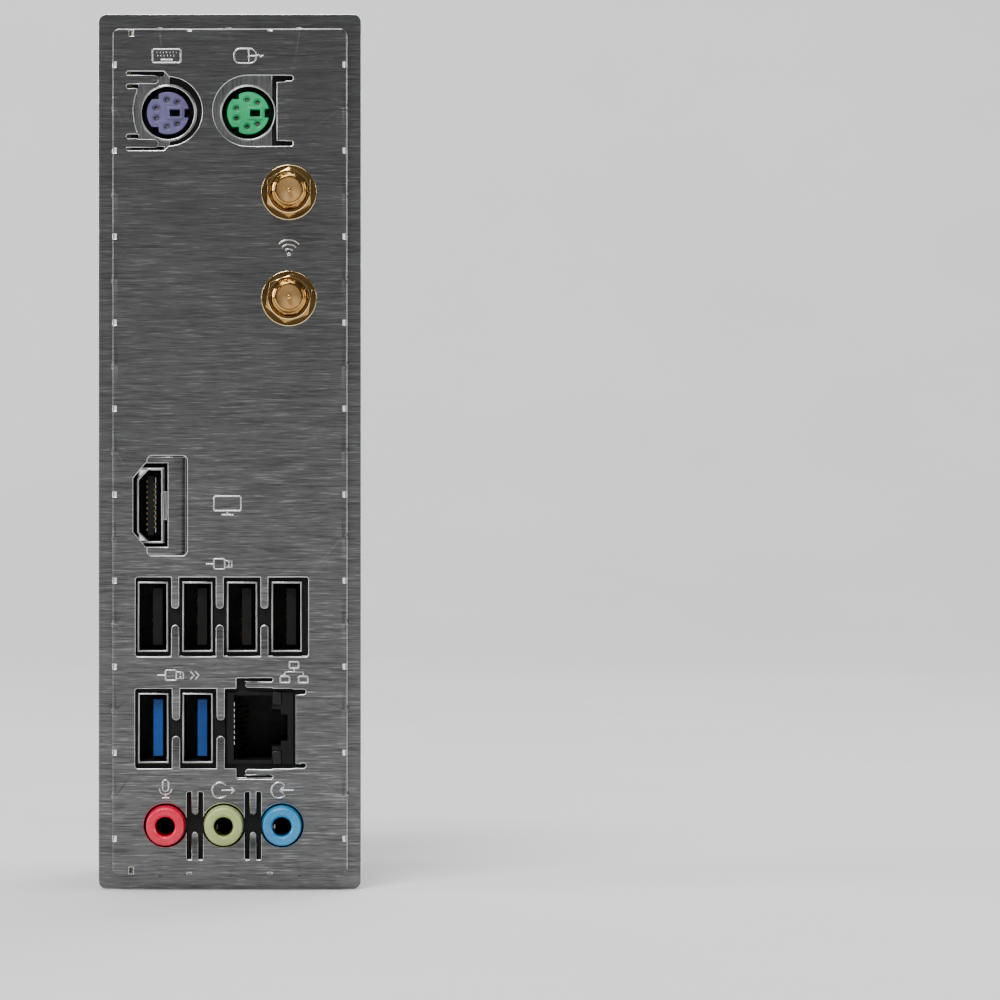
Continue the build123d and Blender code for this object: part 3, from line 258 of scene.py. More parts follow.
# black plastic, darkened past its own colour as painted shade inside the port mouths
SHADED_BLACK = moulded("black_housing", grey(0.003), grey(0.007), (0.45, 0.65), Specular_IOR_Level=0.2)
PURPLE = moulded("keyboard_purple", tone(0.1, 0.09, 0.2), tone(0.145, 0.13, 0.27), SATIN)
GREEN = moulded("mouse_green", tone(0.008, 0.3, 0.1), tone(0.016, 0.43, 0.16), SATIN)
BLUE = moulded(
    "fast_blue", tone(0, 0.035, 0.17), tone(0, 0.06, 0.27), SATIN, Specular_IOR_Level=0.35
)
RING = {"rough": GLOSSY, "Coat_Weight": 0.1}  # the three rings of the audio jacks
PINK = moulded("mic_pink", tone(0.62, 0.001, 0.035), tone(0.84, 0.004, 0.06), **RING)
LIME = moulded("line_out_lime", tone(0.34, 0.4, 0.14), tone(0.46, 0.54, 0.22), **RING)
AZURE = moulded("line_in_azure", tone(0.015, 0.18, 0.42), tone(0.03, 0.3, 0.58), **RING)
# the insulator's own cream, tinted orange-gold as a painted reflection of the gold barrel around it
CREAM_AND_GOLD_REFLECTION = moulded(
    "cream_dielectric",
    deep=tone(0.5, 0.31, 0.11),
    bright=tone(0.7, 0.48, 0.21),
    rough=(0.18, 0.3),
    grain=3000,
    Coat_Weight=0.4,
)
SMOKED = moulded(
    "smoked_lens", grey(0.006), grey(0.012), rough=(0.2, 0.32), grain=2500, Specular_IOR_Level=0.25
)
CHIP = moulded("chip_epoxy", grey(0.012), grey(0.022), rough=(0.45, 0.7), grain=14000)
CERAMIC = moulded("ceramic", tone(0.2, 0.13, 0.075), tone(0.32, 0.22, 0.14), SATIN, grain=12000)
SLEEVE = moulded(
    "capacitor_sleeve",
    deep=tone(0.01, 0.012, 0.014),
    bright=tone(0.03, 0.032, 0.036),
    rough=(0.3, 0.45),
    grain=4000,
)
LABEL = moulded("paper_label", grey(0.62), grey(0.78), rough=(0.5, 0.65), grain=7000)
INK = moulded("ink", grey(0.015), grey(0.03), rough=(0.5, 0.65), grain=7000)
TRACE = moulded("trace_mask", grey(0.018), grey(0.028), rough=(0.3, 0.42), Coat_Weight=0.3)

BOARD_MASK = laminate(
    "board_mask",
    mask_deep=tone(0.006, 0.007, 0.008),
    mask_bright=tone(0.013, 0.014, 0.016),
    core=tone(0.2, 0.18, 0.1),
    across=0,
)
CARD_MASK = laminate(
    "card_mask",
    mask_deep=tone(0.006, 0.04, 0.022),
    mask_bright=tone(0.012, 0.07, 0.036),
    core=tone(0.22, 0.2, 0.11),
    across=1,
)

FINISH = {
    "shield_steel": SHIELD,
    "connector_steel": COVER,
    "black_plastic": SHADED_BLACK,
    "board_green": BOARD_MASK,
    "card_board": CARD_MASK,
    "can_metal": CAN,
    "gold_brass": CONTACT_GOLD,
    "tinned_brass": TIN,
    "standoff_brass": BRASS,
    "screw_steel": NICKEL,
    "cream_dielectric": CREAM_AND_GOLD_REFLECTION,
    "purple_plastic": PURPLE,
    "green_plastic": GREEN,
    "blue_plastic": BLUE,
    "pink_plastic": PINK,
    "lime_plastic": LIME,
    "azure_plastic": AZURE,
    "lens_plastic": SMOKED,
}


def finish_of(node):
    if node == "wifi_bracket":
        return BRACKET
    return SHADED_GOLD if node.startswith("antenna_nut") else FINISH[SLOT_OF[node]]


# ---------------------------------------------------------------- mesh helpers
SMOOTH_ANGLE = 35  # degrees: faces that meet at less are shaded as one


def place(mesh, material, body=PANEL):
    """Links a mesh as a piece of the same name that rides on a body."""
    mesh.materials.clear()
    mesh.materials.append(material)
    piece = bpy.data.objects.new(mesh.name, mesh)
    bpy.context.scene.collection.objects.link(piece)
    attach(piece, body)
    weighted = piece.modifiers.new("weighted", "WEIGHTED_NORMAL")
    weighted.keep_sharp = True
    return piece


def mesh_from(bm, name, smooth_angle=SMOOTH_ANGLE, rounds=()):
    """Mesh, smooth up to an angle, but always creased where a rounded edge meets a plain face."""
    bmesh.ops.recalc_face_normals(bm, faces=bm.faces)
    limit, rounds = math.radians(smooth_angle), set(rounds)
    for face in bm.faces:
        face.smooth = True
    for edge in bm.edges:
        kinds = {face in rounds for face in edge.link_faces}
        edge.smooth = len(kinds) == 1 and (kinds == {True} or edge.calc_face_angle(0) < limit)
    # 1 on the rounded faces: where edge wear and the painted edge highlight go
    edge_wear_and_highlight = [float(face in rounds) for face in bm.faces]
    mesh = bpy.data.meshes.new(name)
    bm.to_mesh(mesh)
    bm.free()
    mesh.attributes.new(EDGE, "FLOAT", "FACE").data.foreach_set("value", edge_wear_and_highlight)
    return mesh


def bevel(bm, edges, width_mm):
    """Rounds edges, and returns the faces that round them."""
    settings = {"segments": 2, "profile": 0.5, "affect": "EDGES", "clamp_overlap": False}
    return bmesh.ops.bevel(bm, geom=edges, offset=width_mm * MM, **settings)["faces"]


def welded(node):
    """Mesh data of a CAD node, its shared corners merged."""
    bm = bmesh.new()
    bm.from_mesh(NODES[node].data)
    bmesh.ops.remove_doubles(bm, verts=bm.verts, dist=1e-6)
    bm.normal_update()
    return bm


def stand_in(node, mesh, material):
    """Places a mesh in the stead of a CAD node."""
    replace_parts(place(mesh, material, BODY_OF[node]), node)


def skin(bm, rings, closed=False):
    """Faces between rings of corners: joined end to end if closed, or else capped at both ends."""
    rings = [[bm.verts.new(Vector(corner) * MM) for corner in ring] for ring in rings]
    for low, high in zip(rings, rings[1:] + rings[:1] if closed else rings[1:]):
        for i in range(len(low)):
            j = (i + 1) % len(low)
            bm.faces.new((low[i], low[j], high[j], high[i]))
    if not closed:
        bm.faces.new(rings[0])
        bm.faces.new(rings[-1])


def fractions(count):
    """Even fractions of a full turn, from 0."""
    return [i / count for i in range(count)]


def cos_sin(turn):
    return math.cos(2 * math.pi * turn), math.sin(2 * math.pi * turn)


def add_box(bm, low, high, width_mm=0.0):
    """Box between two corners, its edges rounded on request."""
    size = Vector(high) - Vector(low)
    middle = (Vector(high) + Vector(low)) / 2
    at = Matrix.LocRotScale(middle * MM, None, size * MM)
    made = bmesh.ops.create_cube(bm, size=1.0, matrix=at)
    if width_mm:
        once_each = dict.fromkeys(e for v in made["verts"] for e in v.link_edges)
        bevel(bm, list(once_each), width_mm)


def add_lathe(bm, centre, outline, sides, closed=False):
    """Solid of revolution about X: outline is a list of (radius, height over the centre)."""
    x, y, z = centre
    rings = []
    for radius, height in outline:
        around = [cos_sin(turn) for turn in fractions(sides)]
        rings.append([(x + height, y + radius * sin, z - radius * cos) for cos, sin in around])
    skin(bm, rings, closed)


def ribbons(name, strokes, width_mm, material, lay):
    """Raised lines: strokes are (2-D points, closed or not), and lay puts a point on a surface."""
    curve = bpy.data.curves.new(name, "CURVE")
    curve.dimensions = "3D"
    curve.bevel_depth = width_mm / 2 * MM
    curve.bevel_resolution = 2
    for points, closed in strokes:
        spline = curve.splines.new("POLY")
        spline.points.add(len(points) - 1)
        spline.use_cyclic_u = closed
        for target, point in zip(spline.points, points):
            target.co = (*(Vector(lay(*point)) * MM), 1)
    rope = bpy.data.objects.new(name + "_curve", curve)
    bpy.context.scene.collection.objects.link(rope)
    evaluated = rope.evaluated_get(bpy.context.evaluated_depsgraph_get())
    mesh = bpy.data.meshes.new_from_object(evaluated)
    bpy.data.objects.remove(rope)
    mesh.name = name
    place(mesh, material)


# ---------------------------------------------------------------- parts with softened edges
SOFT_EDGES = {  # node: width of the rounding of its sharp edges
    "io_shield": 0.1,
    "ps2_shell": 0.1,
    "ps2_housing": 0.12,
    "ps2_keyboard_insert": 0.09,
    "ps2_mouse_insert": 0.09,
    "antenna_nut_upper": 0.06,
    "antenna_nut_lower": 0.06,
    "wifi_bracket": 0.14,
    "wifi_socket": 0.15,
    "wifi_standoff": 0.12,
    "wifi_card_board": 0.05,
    "video_port_shell": 0.09,
    "video_port_tongue": 0.08,
    "usb2_shell": 0.07,
    "usb2_housing": 0.08,
    "lan_usb_shell": 0.07,
    "usb3_housing": 0.08,
    "usb3_tongues": 0.1,
    "lan_jack_housing": 0.1,
    "lan_led_lenses": 0.15,
    "audio_housing": 0.12,
    "audio_ring_mic": 0.12,
    "audio_ring_line_out": 0.12,
    "audio_ring_line_in": 0.12,
}
SHARP_ANGLE = 40  # degrees: edges over it are rounded
NUTS = ("antenna_nut_upper", "antenna_nut_lower")
NUT_ANGLE = 20  # the nuts' outer faces slope off gently at the corners
WASHERS = ("antenna_washer_upper", "antenna_washer_lower")


def finish_cad_nodes():
    for node, part in NODES.items():
        part.data.materials.clear()
        part.data.materials.append(finish_of(node))


def rounded(node, width_mm):
    """Stands a copy of a CAD node in for it, with its sharp edges rounded."""
    bm = welded(node)
    sharp_angle = NUT_ANGLE if node in NUTS else SHARP_ANGLE
    limit = math.radians(sharp_angle)
    sharp = [e for e in bm.edges if len(e.link_faces) == 2 and e.calc_face_angle(0) > limit]
    rounds = bevel(bm, sharp, width_mm)
    mesh = mesh_from(bm, node + "_rounded", min(sharp_angle, SMOOTH_ANGLE), rounds)
    stand_in(node, mesh, finish_of(node))


def flat_faced(node):
    """Stands a copy of a filleted ring in for it, its flat faces kept flat up to the fillet."""
    bm = welded(node)
    # the fillet and bore faces, which also take the gold's painted edge highlight
    around = [face for face in bm.faces if abs(face.normal.y) < 0.999]
    stand_in(node, mesh_from(bm, node + "_ring", rounds=around), SHADED_GOLD)


# ---------------------------------------------------------------- antenna jacks with cut threads
JACKS = ("antenna_jack_upper", "antenna_jack_lower")
JACK_SIDES, ROWS_PER_TURN, JACK_SMOOTH = 48, 8, 50
JACK_TIP_Y = -9.9
THREAD_R, ROOT_R, THREAD_PITCH = 3.175, 2.8, 25.4 / 36
THREAD_START_Y, THREAD_END_Y, THREAD_RUNOUT = JACK_TIP_Y + 0.3, -2.0, 0.5
FLANK, ROOT_FLAT = 1.6, 0.2  # steepness of the flanks, and how much of it is lost in the root
BORE_R, BORE_END_Y = 2.25, -4.0
RIM_R, RIM_OUTER_R = 2.38, 2.58  # flat end of the barrel
RIM_BEVEL, SHOULDER_R, SHOULDER_BEVEL = 0.2, 2.76, 0.16
FLANGE_R, FLANGE_Y, FLANGE_END_Y = 4.3, -0.5, 0.7
NECK_R, NECK_END_Y = 2.3, 3.0
FERRULE_R, FERRULE_END_Y = 1.1, 5.4
LEAD_R, LEAD_END_Y, SEAT_R = 0.75, 2.6, 1.25
CORNER = 0.1  # chamfers and fillets of the turned steps


def thread_radius(y, turn):
    """Radius of a right-hand thread with narrow crests, at a depth and a fraction of a turn."""
    phase = ((y - JACK_TIP_Y) / THREAD_PITCH + turn) % 1.0
    rise = (1 - abs(2 * phase - 1)) * FLANK - ROOT_FLAT
    fade = min(1.0, (y - THREAD_START_Y) / THREAD_RUNOUT, (THREAD_END_Y - y) / THREAD_RUNOUT)
    return ROOT_R + (THREAD_R - ROOT_R) * max(0.0, min(1.0, rise)) * max(0.0, fade)


def turned(radius, start, end, root):
    """Outline of a turned step with a chamfered end: root adds to the radius at its very start."""
    first, last = (radius + root, start), (radius - CORNER, end)
    return [first, (radius, start + CORNER), (radius, end - CORNER), last]


def jack_outline():
    """(radius, y) from the bore over the mouth, the thread and the steps back to the bore.

    A radius of None is left to the thread.
    """
    mouth = [(BORE_R, BORE_END_Y), (BORE_R, JACK_TIP_Y + RIM_BEVEL), (RIM_R, JACK_TIP_Y)]
    mouth += [(RIM_OUTER_R, JACK_TIP_Y), (SHOULDER_R, JACK_TIP_Y + SHOULDER_BEVEL)]
    rows = round((THREAD_END_Y - THREAD_START_Y) / THREAD_PITCH * ROWS_PER_TURN)
    thread = [(None, THREAD_START_Y + i * THREAD_PITCH / ROWS_PER_TURN) for i in range(rows)]
    steps = [(ROOT_R, THREAD_END_Y), (ROOT_R, FLANGE_Y)]
    steps += turned(FLANGE_R, FLANGE_Y, FLANGE_END_Y, -CORNER)
    steps += turned(NECK_R, FLANGE_END_Y, NECK_END_Y, CORNER)
    steps += turned(FERRULE_R, NECK_END_Y, FERRULE_END_Y, CORNER)
    lead = [(LEAD_R, FERRULE_END_Y), (LEAD_R, LEAD_END_Y)]
    seat = [(SEAT_R, LEAD_END_Y), (SEAT_R, BORE_END_Y)]
    return mouth + thread + steps + lead + seat


def antenna_jack(node):
    """Barrel with a true helical thread, its bevelled mouth, flange, neck and solder ferrule."""
    low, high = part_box(node)
    x, z = (low.x + high.x) / 2 / MM, (low.z + high.z) / 2 / MM
    rings = []
    for radius, y in jack_outline():
        ring = []
        for turn in fractions(JACK_SIDES):
            cos, sin = cos_sin(turn)
            r = thread_radius(y, turn) if radius is None else radius
            ring.append((x + r * cos, y, z + r * sin))
        rings.append(ring)
    bm = bmesh.new()
    skin(bm, rings, closed=True)
    stand_in(node, mesh_from(bm, node + "_threaded", JACK_SMOOTH), SHADED_GOLD)


# ---------------------------------------------------------------- stamped pictograms
STROKE = 0.34
STAMP_Y = FACE_Y + 0.04  # centre line of the raised strokes, half sunk in the face
CIRCLE_SIDES = 16


def on_face(x, z):
    return (x, STAMP_Y, z)


def arc(x, z, radius, start, end, steps):
    """Points on an arc in degrees, anticlockwise from +X."""
    angles = [math.radians(start + (end - start) * i / steps) for i in range(steps + 1)]
    return [(x + radius * math.cos(a), z + radius * math.sin(a)) for a in angles]


def line(*points):
    return (list(points), False)


def loop(*points):
    return (list(points), True)


def circle(x, z, radius):
    return (arc(x, z, radius, 0, 360 - 360 / CIRCLE_SIDES, CIRCLE_SIDES - 1), True)


def round_box(x, z, w, h, r):
    """Outline of a box with round corners about its centre."""
    x0, x1, z0, z1 = x - w / 2 + r, x + w / 2 - r, z - h / 2 + r, z + h / 2 - r
    corners = []
    for i, corner in enumerate(((x1, z1), (x0, z1), (x0, z0), (x1, z0))):
        corners += arc(*corner, r, 90 * i, 90 * (i + 1), 4)
    return (corners, True)


def dash(x, z, length):
    return line((x - length / 2, z), (x + length / 2, z))


def keyboard_sign(x, z):
    strokes = [round_box(x, z, 5.2, 2.5, 0.3), dash(x, z - 0.7, 2.2)]
    for row, height in enumerate((0.62, 0.02)):
        first = x - 1.8 + 0.15 * row
        strokes += [dash(first + 0.6 * i, z + height, 0.12) for i in range(7 - row)]
    return strokes


def mouse_sign(x, z):
    """Mouse with its two buttons to the right, where the cord leaves it."""
    button_x, nose_x = x + 0.7, x + 2.05
    body = [round_box(x, z, 4.1, 2.7, 1.1), line((button_x, z - 1.3), (button_x, z + 1.3))]
    cord = line((nose_x, z), (x + 2.5, z + 0.25), (x + 2.9, z - 0.15), (x + 3.4, z + 0.15))
    return [*body, line((button_x, z), (nose_x, z)), cord]


def wireless_sign(x, z):
    """Dot with three arcs of radio waves over it."""
    root_z = z - 1.5
    waves = [(arc(x, root_z, 1.0 + 0.85 * i, 45, 135, 12), False) for i in range(3)]
    return [circle(x, root_z, 0.2), *waves]


def screen_sign(x, z):
    neck, foot = line((x, z - 1.0), (x, z - 1.7)), line((x - 1.1, z - 1.75), (x + 1.1, z - 1.75))
    return [round_box(x, z + 0.35, 5.0, 2.7, 0.3), neck, foot]


def plug_sign(x, z):
    """Flat plug on its cord."""
    near, far, half = x + 0.9, x + 2.2, 0.6
    grip = round_box(x - 0.1, z, 2.0, 1.9, 0.25)
    nose = loop((near, z - half), (far, z - half), (far, z + half), (near, z + half))
    contacts = [dash(x + 1.65, z + side * 0.28, 0.25) for side in (-1, 1)]
    return [grip, nose, *contacts, line((x - 1.1, z), (x - 2.6, z))]


def fast_plug_sign(x, z):
    """Plug with two chevrons."""
    chevrons = []
    for start in (x + 2.9, x + 3.8):
        chevrons.append(line((start, z - 0.75), (start + 0.7, z), (start, z + 0.75)))
    return plug_sign(x - 0.6, z) + chevrons


def network_sign(x, z):
    """One box wired to two boxes under it."""
    reach, bus_z = 1.7, z + 0.25
    left, right = x - reach, x + reach
    places = ((x, z + 1.5), (left, z - 1.2), (right, z - 1.2))
    boxes = [round_box(*at, 1.7, 1.15, 0.15) for at in places]
    bus = line((left, z - 0.6), (left, bus_z), (right, bus_z), (right, z - 0.6))
    return [*boxes, line((x, z + 0.9), (x, bus_z)), bus]


def microphone_sign(x, z):
    head = round_box(x, z + 0.75, 1.1, 2.1, 0.54)
    cup = (arc(x, z + 0.25, 1.15, 180, 360, 10), False)
    return [head, cup, line((x, z - 0.9), (x, z - 1.5)), dash(x, z - 1.55, 1.3)]


def sound_sign(x, z, outward):
    """Open ring of sound with an arrow that leaves or enters it."""
    tip, tail = (x + 2.7, x + 0.3) if outward else (x + 0.2, x + 2.7)
    barb = tip + (-0.7 if outward else 0.7)
    head = line((barb, z + 0.65), (tip, z), (barb, z - 0.65))
    return [(arc(x, z, 1.45, 40, 320, 16), False), line((tail, z), (tip, z)), head]


def stamp_signs():
    signs = {
        "keyboard": keyboard_sign(-11.7, 73.6),
        "mouse": mouse_sign(2.9, 73.6),
        "wireless": wireless_sign(11.05, 38.2),
        "screen": screen_sign(-0.4, -10.0),
        "plug": plug_sign(-1.8, -20.9),
        "fast_plug": fast_plug_sign(-10.2, -41.6),
        "network": network_sign(12.0, -41.2),
        "microphone": microphone_sign(-11.9, -62.9),
        "sound_out": sound_sign(-1.8, -63.0, outward=True),
        "sound_in": sound_sign(9.2, -63.0, outward=False),
    }
    for name, strokes in signs.items():
        ribbons("stamp_" + name, strokes, STROKE, HIGHLIT_STAMP, on_face)


# ---------------------------------------------------------------- solder
TAIL_NODES = (
    "ps2_contacts",
    "ps2_shell",
    "usb2_contact_tails",
    "usb2_shell",
    "usb3_contact_tails",
    "lan_usb_shell",
    "lan_contact_tails",
    "video_port_shell",
    "audio_contact_tails",
    "wifi_bracket",
)
FOOT_DEPTH = 0.45  # a vertex this far under the board belongs to a soldered tail
SOLDER_SIDES, SOLDER_SMOOTH = 20, 50
CONE_REACH, CONE_HEIGHT = 0.42, 0.85
COLLAR_REACH, COLLAR_HEIGHT = 0.3, 0.12


def middle_and_half(values):
    """Middle of the values' span, and half its length."""
    return (min(values) + max(values)) / 2, (max(values) - min(values)) / 2


def tail_places(node):
    """Centre (y, z) and half-lengths of every tail of a node under the board."""
    bm = welded(node)
    waiting = {v for v in bm.verts if v.co.x / MM < BOARD_UNDER - FOOT_DEPTH}
    places = []
    while waiting:
        front, found = [waiting.pop()], []
        while front:
            vertex = front.pop()
            found.append(vertex.co / MM)
            linked = {e.other_vert(vertex) for e in vertex.link_edges} & waiting
            waiting -= linked
            front += linked
        (y, half_y), (z, half_z) = (middle_and_half([c[axis] for c in found]) for axis in (1, 2))
        places.append((y, z, half_y, half_z))
    bm.free()
    return sorted(places)


def add_fillet(bm, surface, outward, tail, reach, height):
    """Solder cone with a hollow flank around one tail, on either face of the board."""
    y, z, half_y, half_z = tail
    flank = [(reach, -0.02), (reach * 0.96, 0.05), (reach * 0.5, height * 0.35)]
    flank += [(0.2, height * 0.75), (0.07, height)]
    rings = []
    for swell, rise in flank:
        x, wide, tall = surface + outward * rise, half_y + swell, half_z + swell
        around = [cos_sin(turn) for turn in fractions(SOLDER_SIDES)]
        rings.append([(x, y + wide * cos, z + tall * sin) for cos, sin in around])
    skin(bm, rings)


def soldering():
    """Solder around every tail: full cones under the board, low collars on its component side."""
    below, above = bmesh.new(), bmesh.new()
    for node in TAIL_NODES:
        for tail in tail_places(node):
            add_fillet(below, BOARD_UNDER, -1, tail, CONE_REACH, CONE_HEIGHT)
            add_fillet(above, BOARD_TOP, 1, tail, COLLAR_REACH, COLLAR_HEIGHT)
    place(mesh_from(below, "solder_cones", SOLDER_SMOOTH), SOLDER)
    place(mesh_from(above, "solder_collars", SOLDER_SMOOTH), SOLDER)


def add_pad(bm, surface, outward, y, z):
    """Tinned ring with eight solder dots around a screw hole."""
    inner, outer, dots, dots_r, ring_sides, dot_sides = 2.02, 2.9, 8, 2.45, 40, 12
    low, high = sorted((-0.01 * outward, 0.05 * outward))
    ring = [(inner, low), (outer, low), (outer, high), (inner, high)]
    add_lathe(bm, (surface, y, z), ring, ring_sides, closed=True)
    dot = [(0.26, 0.03 * outward), (0.2, 0.12 * outward), (0.06, 0.15 * outward)]
    for turn in fractions(dots):
        cos, sin = cos_sin(turn + 0.5 / dots)
        add_lathe(bm, (surface, y + dots_r * cos, z + dots_r * sin), dot, dot_sides)


def screw_pads():
    """Pads around the two screw holes, on both faces."""
    hole_y, hole_z = 11.76, 78.74
    bm = bmesh.new()
    for side in (-1, 1):
        add_pad(bm, BOARD_TOP, 1, hole_y, side * hole_z)
        add_pad(bm, BOARD_UNDER, -1, hole_y, side * hole_z)
    place(mesh_from(bm, "screw_pads"), SOLDER)


# ---------------------------------------------------------------- copper runs
RUN_WIDTH, RUN_SUNK, BOARD_REAR_Y = 0.3, 0.11, 41.6


def bus(count, first_z, pitch, start, bend, jog, end=BOARD_REAR_Y, stagger=0.0, fan=0.0):
    """Parallel runs to the rear that step sideways by jog between the two depths of bend.

    Each run starts stagger further back than the one before, and bends fan further back.
    """
    runs = []
    for i in range(count):
        z = first_z + pitch * i
        near, far = (depth + fan * i for depth in bend)
        runs.append(line((start + stagger * i, z), (near, z), (far, z + jog), (end, z + jog)))
    return runs


def traces():
    """Masked copper runs between the connectors and the chips, raised a few hundredths."""
    over = bus(8, -55.0, 1.02, start=19.4, bend=(23.2, 25.0), jog=1.6, end=30.5, fan=0.25)
    over += bus(6, -34.5, 1.5, start=19.5, bend=(27.0, 30.0), jog=3, fan=0.5)
    over += bus(5, 60.0, 1.3, start=21.0, bend=(26.0, 28.0), jog=-2)
    over += bus(7, 32.0, 1.4, start=14.2, bend=(20.0, 23.0), jog=-3)
    under = bus(6, -34.5, 1.5, start=4.0, bend=(14.0, 18.0), jog=-4, stagger=1.5, fan=2)
    under += bus(5, 60.0, 1.3, start=14.5, bend=(24.0, 28.0), jog=-4, stagger=1.25)
    under += bus(7, 2.0, 1.4, start=6.0, bend=(18.0, 22.0), jog=4)
    ribbons("traces_top", over, RUN_WIDTH, TRACE, lambda y, z: (BOARD_TOP - RUN_SUNK, y, z))
    ribbons("traces_under", under, RUN_WIDTH, TRACE, lambda y, z: (BOARD_UNDER + RUN_SUNK, y, z))


# ---------------------------------------------------------------- components on the board
def about(middle, half):
    """The span that reaches half to either side of its middle."""
    return (middle - half, middle + half)


def add_on_board(bm, heights, ys, zs, width_mm=0.0):
    """Box on the component side, between two heights over it and within two spans along Y and Z."""
    (low_y, high_y), (low_z, high_z) = sorted(ys), sorted(zs)
    low, high = (BOARD_TOP + height for height in heights)
    add_box(bm, (low, low_y, low_z), (high, high_y, high_z), width_mm)


def chip(name, at, half, height, pins, pitch):
    """Moulded chip with a mark at its first pin and leads along its two long sides."""
    (y, z), (half_y, half_z) = at, half
    body, leads = bmesh.new(), bmesh.new()
    add_on_board(body, (0.1, height), about(y, half_y), about(z, half_z), 0.12)
    mark = (BOARD_TOP + height - 0.02, y - half_y + 0.8, z - half_z + 0.8)
    add_lathe(body, mark, [(0.35, 0), (0.32, 0.03)], 16)
    for i in range(pins):
        pin_z = z + (i - (pins - 1) / 2) * pitch
        for side in (-1, 1):
            root, shoulder, toe = (y + side * (half_y + reach) for reach in (-0.1, 0.3, 0.75))
            add_on_board(leads, (0.02, 0.2), (root, toe), about(pin_z, 0.11), 0.03)
            add_on_board(leads, (0.1, 0.5), (root, shoulder), about(pin_z, 0.1), 0.03)
    place(mesh_from(body, name + "_body"), CHIP)
    place(mesh_from(leads, name + "_leads"), TIN)


def small_parts(name, places, length, width, height, material):
    """Two-ended small parts: a body between two tinned caps, all along Z."""
    bodies, caps = bmesh.new(), bmesh.new()
    for y, z in places:
        add_on_board(bodies, (0.03, height), about(y, width / 2), about(z, length * 0.3), 0.03)
        for side in (-1, 1):
            near, far = sorted((z + side * length * 0.28, z + side * length / 2))
            add_on_board(caps, (0, height + 0.02), about(y, width / 2 + 0.02), (near, far), 0.05)
            foot = (near, far + side * 0.1)
            add_on_board(caps, (-0.01, 0.05), about(y, width / 2 + 0.08), foot)
    place(mesh_from(bodies, name + "_bodies"), material)
    place(mesh_from(caps, name + "_caps"), TIN)


def can_capacitors(places):
    """Upright capacitors: sleeve with a rolled shoulder and neck, bare top and square base."""
    radius, height, top_r, sides = 2.4, 6.2, 2.04, 36
    foot = [(radius - 0.3, 0.75), (radius - 0.05, 0.9)]
    neck = [(radius - 0.25, 1.5), (radius, 1.8)]
    shoulder = [(radius, height - 0.35), (radius - 0.1, height - 0.1), (radius - 0.35, height)]
    sleeves, tops, bases = bmesh.new(), bmesh.new(), bmesh.new()
    for y, z in places:
        at = (BOARD_TOP, y, z)
        add_lathe(sleeves, at, foot + neck + shoulder, sides)
        add_lathe(tops, at, [(top_r, height - 0.05), (top_r, height + 0.02)], sides)
        add_on_board(bases, (0, 0.8), about(y, radius), about(z, radius), 0.35)
    place(mesh_from(sleeves, "capacitor_sleeves"), SLEEVE)
    place(mesh_from(tops, "capacitor_tops"), CAN)
    place(mesh_from(bases, "capacitor_bases"), SHADED_BLACK)


def column(count, y, first_z, pitch):
    """Places in a row along Z."""
    return [(y, first_z + pitch * i) for i in range(count)]


def board_components():
    """Chips, small parts and capacitors behind the connectors, on the component side."""
    chip("network_chip", (33.5, -50.5), half=(3.2, 3.2), height=0.95, pins=12, pitch=0.5)
    chip("audio_chip", (30.5, -68.5), half=(3.4, 3.4), height=1.3, pins=12, pitch=0.5)
    chip("port_chip", (27.5, -27.5), half=(1.9, 2.6), height=1.5, pins=4, pitch=1.27)
    chip("input_chip", (31.0, 62.0), half=(2.2, 4.6), height=1.6, pins=12, pitch=0.65)
    chip("video_chip", (24.0, -9.5), half=(1.4, 3.0), height=1.0, pins=10, pitch=0.5)
    can_capacitors([(19.5, -77.5), (25.5, -77.0), (37.5, -62.0), (37.5, -76.0), (37.0, -34.0)])
    filters = [(22.5 + 1.4 * (i % 2), -40.5 + 2.0 * i) for i in range(9)]
    loads = column(9, y=17.0, first_z=-16.0, pitch=1.5)
    loads += [(20.0 + 1.6 * i, 55.2) for i in range(6)]
    pulls = column(7, y=36.5, first_z=-46.0, pitch=1.3) + column(8, y=24.0, first_z=22.0, pitch=1.5)
    small_parts("filter_parts", filters, length=1.6, width=0.8, height=0.7, material=CERAMIC)
    small_parts("load_parts", loads, length=1.0, width=0.5, height=0.45, material=CERAMIC)
    small_parts("pull_parts", pulls, length=1.0, width=0.55, height=0.35, material=CHIP)
    can = bmesh.new()
    add_on_board(can, (0, 0.85), (37.0, 39.5), (-56.2, -53.0), 0.25)
    place(mesh_from(can, "clock_can"), CAN)


# ---------------------------------------------------------------- wireless card
CARD_LOW, CARD_HIGH = (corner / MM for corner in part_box("wifi_card_board"))


def card_fingers():
    """Gold fingers on both faces of the edge that sits in the socket."""
    count, pitch, half_z, sunk = 36, 0.56, 0.17, 0.02
    bm = bmesh.new()
    for i in range(count):
        z = CARD_LOW.z + 1.1 + pitch * i
        for face_y in (CARD_LOW.y, CARD_HIGH.y):
            low = (CARD_LOW.x + 0.2, face_y - sunk, z - half_z)
            add_box(bm, low, (CARD_LOW.x + 4.2, face_y + sunk, z + half_z))
    place(mesh_from(bm, "card_fingers"), CONTACT_GOLD)


